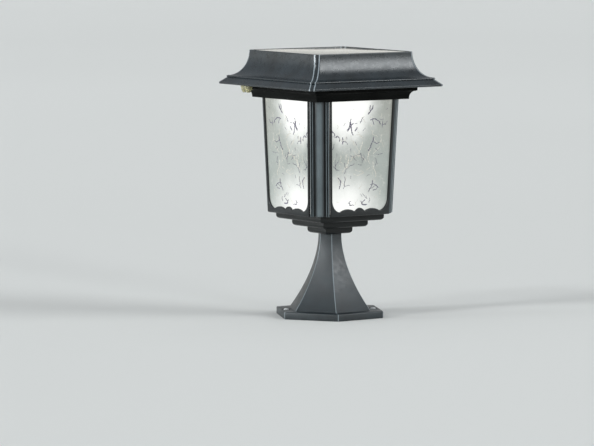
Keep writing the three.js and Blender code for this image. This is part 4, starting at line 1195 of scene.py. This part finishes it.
# Kind of crack, its seed and material, how far it lies behind the pane's foremost plane, and its unevenness
MARKS = (
    ("dark", 3, mark_material("dark_mark", (58, 54, 72), (112, 108, 122), 0.3), 0.02, 0.28),
    ("pale", 5, mark_material("pale_mark", (160, 157, 148), (200, 196, 186), 0.46), 0.05, 0.4),
)
for turn, side in enumerate(SIDES):
    mirrored = side in ("left", "back")
    node = f"window_pane_{side}"
    shape = crackle_pane(turn, mirrored)
    piece(f"crackle_pane_{side}", shape, pane_glass, "lantern", node, sharp=60)
    for kind, seed, shown, depth, jitter in MARKS:
        shape = pane_marks(crackle(CRACKLE[kind], seed), turn, mirrored, depth, jitter)
        piece(f"{kind}_marks_{side}", shape, shown, "lantern", node)

# ---------------------------------------------------------------- collar and seal


def collar():
    cove_reach = COLLAR_FLANGE_HALF - 1.6 - COLLAR_HALF
    lip_top = COLLAR_BOTTOM + 1.4
    cove_top = COLLAR_FLANGE - 0.8
    cove = []
    for angle in quarter_angles(16):
        half = COLLAR_HALF + cove_reach * (1 - math.cos(angle))
        cove.append((half, lip_top + (cove_top - lip_top) * math.sin(angle)))
    foot = filleted([(COLLAR_HALF - 2, COLLAR_BOTTOM, 0), (COLLAR_HALF, COLLAR_BOTTOM, 0.5), (*cove[0], 0)])
    flange = filleted(
        [
            (*cove[-1], 0),
            (COLLAR_FLANGE_HALF, COLLAR_FLANGE, 0.7),
            (COLLAR_FLANGE_HALF, COLLAR_TOP, 0.5),
            (COLLAR_FLANGE_HALF - 2, COLLAR_TOP, 0),
        ]
    )
    profile = [*foot[:-1], *cove, *flange[1:]]
    outer = square_stack([(half, z, COLLAR_CORNER) for half, z in profile])
    ring_room = np.array(cut_square(RING_HALF + GAP, RING_CUT - GAP))
    socket = prism(ring_room, COLLAR_BOTTOM - 1, FRAME_TOP + GAP)
    inside = cut_square(RING_HALF - RING_WALL, inset_cut(RING_CUT, RING_WALL))
    throat = prism(rounded(inside, 0.8, 3), COLLAR_BOTTOM - 1, COLLAR_TOP + 1)
    groove_bottom = COLLAR_TOP - SEAL_DEPTH - GAP
    groove = square_ring(SEAL_HALF + GAP, SEAL_WIDTH + 2 * GAP, groove_bottom, COLLAR_TOP + 1, 0.1)
    return cut(outer, [socket, throat, groove])


def square_ring(half, width, bottom, top, edge):
    """A square ring of rectangular section with rounded edges."""
    section = filleted(
        [(half - width, bottom, edge), (half, bottom, edge), (half, top, edge), (half - width, top, edge)],
        3,
        closed=True,
    )
    return solid(*loft([ring(rounded(square(reach), 1.5, 4), z) for reach, z in section], closed=True))


piece("collar_moulding", collar(), dark_plastic, "lantern", "collar")
seal = square_ring(SEAL_HALF, SEAL_WIDTH, COLLAR_TOP - SEAL_DEPTH, COLLAR_TOP, 0.5)
piece("collar_seal", seal, black_rubber, "lantern", "cap_seal")

# ---------------------------------------------------------------- roof


def cove_profile(inset, top, steps):
    first = math.asin((ROOF_TOP - top) / (COVE_HEIGHT + inset))
    path = []
    for i in range(steps + 1):
        angle = math.pi / 2 + (first - math.pi / 2) * i / steps
        reach = COVE_HALF - (COVE_WIDTH + inset) * math.cos(angle)
        path.append((reach, ROOF_TOP - (COVE_HEIGHT + inset) * math.sin(angle)))
    return path


def roof():
    inner_half = BRIM_HALF - ROOF_WALL - GAP
    inner_corner = ROOF_CORNER - ROOF_WALL
    inside = [*reversed(cove_profile(ROOF_WALL, ROOF_CEILING, 12))]
    inside += [(BEAD_HALF - ROOF_WALL - 1.4, 327.4), (inner_half, LIP_TOP + 1)]
    bead_centre = BEAD_HALF - BEAD_RADIUS
    bead = []
    for degrees in range(-60, 76, 15):
        angle = math.radians(degrees)
        half = bead_centre + BEAD_RADIUS * math.cos(angle)
        bead.append((half, BEAD_MIDDLE + BEAD_RADIUS * math.sin(angle)))
    lip = filleted(
        [
            (inner_half, LIP_TOP, 0),
            (inner_half, ROOF_BOTTOM, 0.3),
            (BRIM_HALF, ROOF_BOTTOM, 0.7),
            (BRIM_HALF, LIP_TOP, 0.6),
            (BEAD_HALF - 0.9, BEAD_MIDDLE - 1.1, 0),
        ]
    )
    rise = cove_profile(0, ROOF_TOP, 30)
    rim = filleted(
        [
            (*rise[-2], 0),
            (*rise[-1], 0.9),
            (PANEL_RECESS_HALF, ROOF_TOP, 0.4),
            (PANEL_RECESS_HALF, PANEL_RECESS_FLOOR, 0),
        ]
    )
    outside = [*lip, *bead, *rise[:-2], *rim]
    profile = [(half, z, inner_corner) for half, z in inside]
    for half, z in outside:
        corner = inner_corner if half <= inner_half and z < LIP_TOP + 1 else ROOF_CORNER
        if z > ROOF_CEILING and half < PANEL_RECESS_HALF + 0.5:
            corner = PANEL_RECESS_CORNER
        profile.append((half, z, corner))
    lead_hole = rod(*LEAD_HOLE, ROOF_CEILING - 1, PANEL_RECESS_FLOOR + 1, LEAD_HOLE_RADIUS)
    return cut(square_stack(profile, 12), [lead_hole])


piece("roof_moulding", roof(), satin_roof, "solar_cap", "roof_shell")

# ---------------------------------------------------------------- solar panel


def panel_glass():
    """Clear glass, with a warm pale tone painted in as a reflection of the sky, uneven over the panel."""
    made = Surface("solar_glass", srgb(226, 220, 196), 0.12, IOR=1.5)
    made.set("Transmission Weight", 0.72)
    made.set("Coat Weight", 1.0)
    # warm pale tone: a painted reflection of the sky
    painted_sky_reflection = made.ramp(made.noise(40), (0.3, srgb(214, 206, 176)), (0.7, srgb(238, 234, 216)))
    made.link(painted_sky_reflection, "Base Color")
    made.shine(9, 0.08, 0.2)
    made.relief((made.noise(2.5, 2), 0.01))
    return made.material


glass_bottom = GLASS_TOP - GLASS_THICKNESS
laminate_top = glass_bottom - GAP
glass_edge = [(PANEL_HALF, glass_bottom, 0.35), (PANEL_HALF, GLASS_TOP, 0.5)]
glass_profile = filleted([(0, glass_bottom, 0), *glass_edge, (0, GLASS_TOP, 0)])
panel = square_stack([(half, z, PANEL_CORNER) for half, z in glass_profile[1:-1]], 8)
piece("panel_glass", panel, panel_glass(), "solar_cap", "solar_glass")


def cell_silicon():
    made = Surface("solar_cell", srgb(24, 34, 66), 0.3)
    crystals = {"Vector": made.place, "Scale": 190.0}
    grain = made.node("ShaderNodeTexVoronoi", crystals).outputs["Color"]
    shade = made.node("ShaderNodeSeparateColor", {"Color": grain}).outputs[0]
    blues = ((0.0, srgb(16, 24, 52)), (0.6, srgb(28, 42, 82)), (1.0, srgb(44, 62, 110)))
    made.link(made.ramp(shade, *blues), "Base Color")
    made.link(made.span(shade, 0.0, 1.0, 0.2, 0.42), "Roughness")
    return made.material


cell_bottom = laminate_top - 0.5
cell_top = laminate_top - 0.25
backing_levels = (laminate_top - LAMINATE_THICKNESS, cell_bottom)
backing = square_stack([(LAMINATE_HALF, z, 2) for z in backing_levels], 4)
piece("panel_backing", backing, dark_plastic, "solar_cap", "solar_cells")
CELL_COLUMNS = (-54.6, -18.2, 18.2, 54.6)
CELL_ROWS = (-36.2, 36.2)
CELL_HALF = (17.4, 35.2)
BUS_BARS = (-8.7, 8.7)


def cell_shape(x, y):
    outline = rounded(rectangle(*CELL_HALF), 2, 2) + np.array([x, y])
    return loft([ring(outline, cell_bottom), ring(outline, cell_top)])


def conductor(x, y, half_x, half_y, top):
    """A flat strip printed on a cell."""
    return box((x - half_x, y - half_y, laminate_top - 0.26), (x + half_x, y + half_y, top))


cell_places = [(x, y) for x in CELL_COLUMNS for y in CELL_ROWS]
cells = gathered([cell_shape(x, y) for x, y in cell_places])
piece("panel_cells", cells, cell_silicon(), "solar_cap", "solar_cells")


strips = []
for x, y in cell_places:
    strips += [conductor(x + bus, y, 0.75, 34.6, laminate_top - 0.12) for bus in BUS_BARS]
    strips += [conductor(x, y + finger, 16.6, 0.07, laminate_top - 0.2) for finger in np.arange(-33, 34, 3)]
piece("panel_conductors", gathered(strips), steel, "solar_cap", "solar_cells")

# ---------------------------------------------------------------- lamp under the roof


def diffuser():
    rim_bottom = LED_BOARD_TOP - DIFFUSER_RIM
    radius = DIFFUSER_RADIUS - 1.5
    angles = np.linspace(0, math.pi / 2, 25)[1:]
    outer = [(radius * math.sin(a), rim_bottom - DIFFUSER_DROP * math.cos(a)) for a in angles]
    rim = filleted(
        [
            (*outer[-1], 0),
            (DIFFUSER_RADIUS, rim_bottom, 0.4),
            (DIFFUSER_RADIUS, LED_BOARD_TOP, 0.4),
            (radius - DIFFUSER_WALL, LED_BOARD_TOP, 0),
        ]
    )
    bore, drop = radius - DIFFUSER_WALL, DIFFUSER_DROP - DIFFUSER_WALL
    inner = [(bore * math.sin(a), rim_bottom - drop * math.cos(a)) for a in reversed(angles)]
    return turned([(0, rim_bottom - DIFFUSER_DROP), *outer, *rim[1:], *inner, (0, rim_bottom - drop)], 64)


def glowing(name, color, strength, roughness):
    made = Surface(name, color, roughness)
    tone = made.mix(made.noise(2), [c * 0.9 for c in color], color)
    made.link(tone, "Base Color")
    made.link(tone, "Emission Color")
    made.set("Emission Strength", strength)
    made.relief((made.noise(0.8, 2), 0.03))
    return made.material


emitter_top = LED_BOARD_BOTTOM - GAP
emitter_bottom = emitter_top - 1.4
emitter_edge = [(7, emitter_bottom, 0.3), (9, emitter_top - 0.8, 0.2), (9, emitter_top, 0.1)]
emitter_profile = filleted([(0, emitter_bottom, 0), *emitter_edge])
board_profile = filleted(
    [
        (0, LED_BOARD_BOTTOM, 0),
        (LED_BOARD_RADIUS, LED_BOARD_BOTTOM, 0.2),
        (LED_BOARD_RADIUS, LED_BOARD_TOP, 0.2),
        (0, LED_BOARD_TOP, 0),
    ]
)
pads = [(12.5 * math.cos(a), 12.5 * math.sin(a)) for a in np.arange(6) * math.pi / 3]
sunken = [rod(x, y, LED_BOARD_BOTTOM - 1, LED_BOARD_BOTTOM + 0.2, 1.6, 24) for x, y in pads]
frosted = glowing("diffuser", srgb(236, 236, 228), 0.5, 0.4)
phosphor = glowing("phosphor", srgb(246, 222, 120), 1.5, 0.45)
piece("lamp_diffuser", diffuser(), frosted, "solar_cap", "led_diffuser", sharp=60)
piece("lamp_emitter", turned(emitter_profile, 64), phosphor, "solar_cap", "led_emitter")
lamp_board = cut(turned(board_profile, 64), sunken)
piece("lamp_board", lamp_board, white_plastic, "solar_cap", "led_board")

# ---------------------------------------------------------------- rocker switch and its clear boot


def rocker():
    """A dished rocker about its axle, with rounded edges. Its section is in the YZ plane."""
    end, half_width = 5.2, 2.5
    across = np.linspace(-1, 1, 17)
    face = [(end * t, -4.2 + 1.0 * (1 - t * t)) for t in across]
    back = [(end * t, -1.6 + 3.3 * (1 - t * t)) for t in reversed(across)]
    section = np.array([*face, *back])
    rings = []
    for x, shrink in ((-half_width, 0.9), (-half_width + 0.3, 1), (half_width - 0.3, 1), (half_width, 0.9)):
        middle = section.mean(0)
        outline = middle + (section - middle) * shrink
        rings.append(np.column_stack([np.full(len(outline), x), outline]))
    axle = turned([(0, -3.6), (0.6, -3.6), (0.8, -3.4), (0.8, 3.4), (0.6, 3.6), (0, 3.6)], 24)
    axle.transform(Matrix.Rotation(math.pi / 2, 4, "Y"))
    body = joined(solid(*loft(rings)), [axle])
    return moved(body, (*SWITCH, ROCKER_PIVOT), (-ROCKER_TILT, 0, 0))


def boot_outline(half_x, half_y, waist):
    """A rounded rectangle that narrows by waist half-way along, so that its ends are two lobes."""
    outline = rounded(rectangle(half_x, half_y), half_x * 0.8, 8)
    closed = np.vstack([outline, outline[:1]])
    lengths = np.concatenate([[0], np.cumsum(np.linalg.norm(np.diff(closed, axis=0), axis=1))])
    spots = np.linspace(0, lengths[-1], 48, endpoint=False)
    even = np.column_stack([np.interp(spots, lengths, closed[:, k]) for k in (0, 1)])
    even[:, 0] *= 1 - waist * np.exp(-((even[:, 1] / (half_y * 0.2)) ** 2))
    return even


def boot():
    """A soft hood over the rocker: a flange and two lobes with a dip between them."""
    top = PLATE_BOTTOM - GAP
    flange_bottom = top - 1.4
    depth = flange_bottom - BOOT_BOTTOM
    flange = ((6.3, 11.2, top), (6.3, 11.2, flange_bottom + 0.2), (6, 10.8, flange_bottom))
    rings = [ring(boot_outline(half_x, half_y, 0), z) for half_x, half_y, z in flange]
    rings.append(ring(boot_outline(*BOOT_HALF, 0), flange_bottom))
    steps = 10
    for k in range(1, steps + 1):
        angle = math.pi / 2 * k / steps
        half_x = BOOT_HALF[0] - 1.4 * k / steps - 2.8 * (1 - math.cos(angle))
        half_y = BOOT_HALF[1] - 1.5 * k / steps - 2.6 * (1 - math.cos(angle))
        outline = boot_outline(max(half_x, 0.9), half_y, 0.35 * math.sin(angle))
        rise = 2.6 * math.sin(angle) * np.exp(-((outline[:, 1] / 2.2) ** 2))
        level = flange_bottom - depth * math.sin(angle * 0.98) ** 0.8 + rise
        rings.append(np.column_stack([outline, level]))
    inner = []
    for points in rings[3:-1]:
        spread = points[:, :2]
        shrunk = spread * (1 - BOOT_WALL / np.linalg.norm(spread, axis=1)[:, None])
        inner.append(np.column_stack([shrunk, points[:, 2] + 0.6]))
    inner.insert(0, inner[0] + np.array([0, 0, 2.0]))
    outside = solid(*loft(rings))
    hood = cut(outside, [solid(*loft(inner))])
    return moved(hood, (*SWITCH, 0))


def clear_vinyl():
    made = Surface("clear_rubber", srgb(232, 228, 190), 0.12)
    made.set("Transmission Weight", 0.75)
    made.set("IOR", 1.45)
    made.link(made.ramp(made.noise(3), (0.3, srgb(214, 208, 160)), (0.7, srgb(240, 238, 212))), "Base Color")
    made.shine(1.5, 0.08, 0.25, 2)
    made.relief((made.noise(1.2, 2), 0.05))
    return made.material


piece("rocker_dished", rocker(), switch_black, "switch_rocker", "switch_rocker")
piece("switch_hood", boot(), clear_vinyl(), "solar_cap", "switch_boot", sharp=60)

# ---------------------------------------------------------------- battery cells, hinge pin and internal leads


def battery_wrap():
    """Shrink film between two plated ends."""
    made = Surface("battery_wrap", srgb(60, 120, 165), 0.35)
    along = made.axes()["X"]
    inside = made.math("LESS_THAN", made.unsigned(along), (CELL_LENGTH / 2 - 2.2) * MM)
    film = made.mix(made.noise(14), srgb(46, 104, 150), srgb(66, 130, 172))
    plating = made.mix(made.noise(2), srgb(160, 160, 156), srgb(206, 206, 202))
    made.link(made.mix(inside, plating, film), "Base Color")
    made.link(made.minus(0.95, made.times(inside, 0.95)), "Metallic")
    made.relief((made.noise(3), 0.08))
    return made.material


def battery_cell():
    half = CELL_LENGTH / 2
    profile = filleted(
        [
            (0, -half, 0),
            (CELL_RADIUS - 0.8, -half, 0.2),
            (CELL_RADIUS, -half + 0.8, 0.3),
            (CELL_RADIUS, half - 2.4, 0.3),
            (CELL_RADIUS - 0.8, half - 1.6, 0.2),
            (3.4, half - 1.6, 0.2),
            (3, half, 0.3),
            (0, half, 0),
        ]
    )
    cell = turned(profile, 64)
    cell.transform(Matrix.Rotation(math.pi / 2, 4, "Y"))
    return cell


def along_x(profile, y, z):
    """A solid of revolution about a line along X, through (radius, x) points."""
    mesh = turned(profile, 32)
    mesh.transform(Matrix.Rotation(math.pi / 2, 4, "Y"))
    return moved(mesh, (0, y, z))


wrap = battery_wrap()
for index, y in enumerate(CELL_LINES, 1):
    cell = moved(battery_cell(), (0, y, CELL_HEIGHT), (0, 0, math.pi * (index - 1)))
    piece(f"cell_{index}", cell, wrap, "solar_cap", f"battery_cell_{index}")

reach = DOOR_PIN_REACH
pin_end = [(0.6, reach - 0.3), (0.4, reach), (0, reach)]
pin = along_x([(radius, -x) for radius, x in reversed(pin_end)] + pin_end, *DOOR_HINGE)
piece("hinge_pin", pin, steel, "solar_cap", "door_pin")

BOARD_EDGE = -32
BOARD_MIDDLE = 328.1
# just above the board itself, and just above the chips on it
BOARD_TOP = 328.95
CHIP_TOP = 330.65
LEADS = {
    "panel_lead": (
        (-20, -50, 361.4),
        (-20, -50, 354),
        (-30, -56, 345),
        (-38, -60, 334),
        (BOARD_EDGE - 4, -62, BOARD_MIDDLE + 0.6),
        (BOARD_EDGE - GAP, -62, BOARD_MIDDLE),
    ),
    "battery_lead": (
        (-37, 36, 340),
        (-43, 35, 339),
        (-50, 20, 332),
        (-48, -20, 326),
        (BOARD_EDGE - 6, -44, BOARD_MIDDLE),
        (BOARD_EDGE - GAP, -46, BOARD_MIDDLE),
    ),
    "led_lead": (
        (10, BOARD_EDGE + GAP, BOARD_MIDDLE),
        (10, BOARD_EDGE + 5, BOARD_MIDDLE),
        (6, BOARD_EDGE + 14, 326),
        (4, -12, 323),
        (4, -12, 319.3),
    ),
    "switch_lead": (
        (SWITCH[0] + 4.6, SWITCH[1], 323.9),
        (SWITCH[0] + 12, SWITCH[1], 324),
        (-72, 40, 324),
        (-60, -10, 324),
        (BOARD_EDGE - 12, -52, BOARD_MIDDLE - 1),
        (BOARD_EDGE - GAP, -54, BOARD_MIDDLE),
    ),
}
for name, points in LEADS.items():
    is_red = name in ("panel_lead", "battery_lead")
    sleeve, slot = (red_insulation, "lead_red") if is_red else (white_insulation, "lead_white")
    piece(f"{name}_sleeve", tube(curved_path(points), 0.98), sleeve, "solar_cap", name, sharp=60)

# ---------------------------------------------------------------- floor, light and ending


def floor():
    mesh = bpy.data.meshes.new("floor")
    reach = 60
    corners = [(x, y, 0) for x, y in four_corners(reach)]
    mesh.from_pydata(corners, [], [(0, 1, 2, 3)])
    made = Surface("floor", srgb(196, 196, 193), 0.9)
    made.set("Specular IOR Level", 0.1)
    shades = ((0.3, srgb(219, 219, 216)), (0.7, srgb(223, 223, 220)))
    made.link(made.ramp(made.noise(4000, 2), *shades), "Base Color")
    mesh.materials.append(made.material)
    thing = bpy.data.objects.new("floor", mesh)
    bpy.context.scene.collection.objects.link(thing)


def sun(name, azimuth, elevation, energy, width):
    """A wide, soft light. Azimuth 0 is in front of the object, on -Y, and 90 is on +X."""
    data = bpy.data.lights.new(name, "SUN")
    data.energy = energy
    data.angle = math.radians(width)
    data.color = (0.94, 0.98, 1)
    a, e = math.radians(azimuth), math.radians(elevation)
    toward = Vector((math.sin(a) * math.cos(e), -math.cos(a) * math.cos(e), math.sin(e)))
    lamp = bpy.data.objects.new(name, data)
    lamp.location = toward
    lamp.rotation_mode = "QUATERNION"
    lamp.rotation_quaternion = toward.to_track_quat("Z", "Y")
    bpy.context.scene.collection.objects.link(lamp)


def surroundings():
    world = bpy.data.worlds.new("world")
    world.use_nodes = True
    nodes, links = world.node_tree.nodes, world.node_tree.links
    direction = nodes.new("ShaderNodeTexCoord").outputs["Generated"]
    parts = nodes.new("ShaderNodeSeparateXYZ")
    links.new(direction, parts.inputs[0])
    sky = nodes.new("ShaderNodeValToRGB")
    links.new(parts.outputs["Z"], sky.inputs["Fac"])
    elements = sky.color_ramp.elements
    elements[0].position, elements[0].color = 0.04, (0.72, 0.72, 0.68, 1)
    elements[1].position, elements[1].color = 0.3, (0.40, 0.42, 0.44, 1)
    links.new(sky.outputs["Color"], nodes["Background"].inputs["Color"])
    bpy.context.scene.world = world
    bpy.context.scene.view_settings.view_transform = "Standard"


floor()
surroundings()
sun("right", 39, 26, 1.6, 30)
sun("front_right", -4, 14, 0.5, 8)
sun("front_left", -92, 16, 1.2, 8)
sun("front_left_high", -84, 38, 0.4, 9)
sun("left", -116, 4, 2.2, 20)

# ---------------------------------------------------------------- materials of the CAD nodes that stay


def circuit_green():
    """Solder mask with fine tracks; the parts that stand on the board are black or copper-coloured."""
    made = Surface("circuit", srgb(28, 84, 56), 0.4)
    parts = made.axes()
    tracks = made.span(made.cells(4, "DISTANCE_TO_EDGE"), 0.03, 0.06, 1.0, 0.0)
    mask = made.mix(tracks, srgb(20, 70, 46), srgb(52, 120, 80))
    raised = made.math("GREATER_THAN", parts["Z"], BOARD_TOP * MM)
    bands = {"Vector": made.place, "Scale": 600.0}
    winding = made.node("ShaderNodeTexWave", bands, bands_direction="Z").outputs["Fac"]
    coil = made.mix(winding, srgb(110, 62, 30), srgb(178, 112, 60))
    is_coil = made.math("GREATER_THAN", parts["Z"], CHIP_TOP * MM)
    component = made.mix(is_coil, srgb(24, 25, 26), coil)
    made.link(made.mix(raised, mask, component), "Base Color")
    made.relief((tracks, 0.05), (winding, 0.02))
    return made.material


# Material and width of the softened edges of each CAD node that is shown as it is, in millimetres
KEPT_NODES = {
    "pane_retainer": (white_plastic, 0.3),
    "floor_reflector": (reflector_white, 0.3),
    "panel_seal": (black_rubber, 0.2),
    "roof_base": (dark_plastic, 0.35),
    "battery_box": (dark_plastic, 0.35),
    "battery_contact_left": (nickel, 0.1),
    "battery_contact_right": (nickel, 0.1),
    "battery_door": (dark_plastic, 0.15),
    "circuit_board": (circuit_green(), 0.1),
    "board_screw_1": (steel, 0.1),
    "board_screw_2": (steel, 0.1),
    "switch_housing": (switch_black, 0.1),
}
for name, (shown, width) in KEPT_NODES.items():
    node = frame["nodes"][name]
    for slot in node.material_slots:
        slot.material = shown
    bevel = node.modifiers.new("soft_edges", "BEVEL")
    bevel.width = width * MM
    bevel.segments = 2
    bevel.limit_method = "ANGLE"
    bevel.angle_limit = math.radians(40)
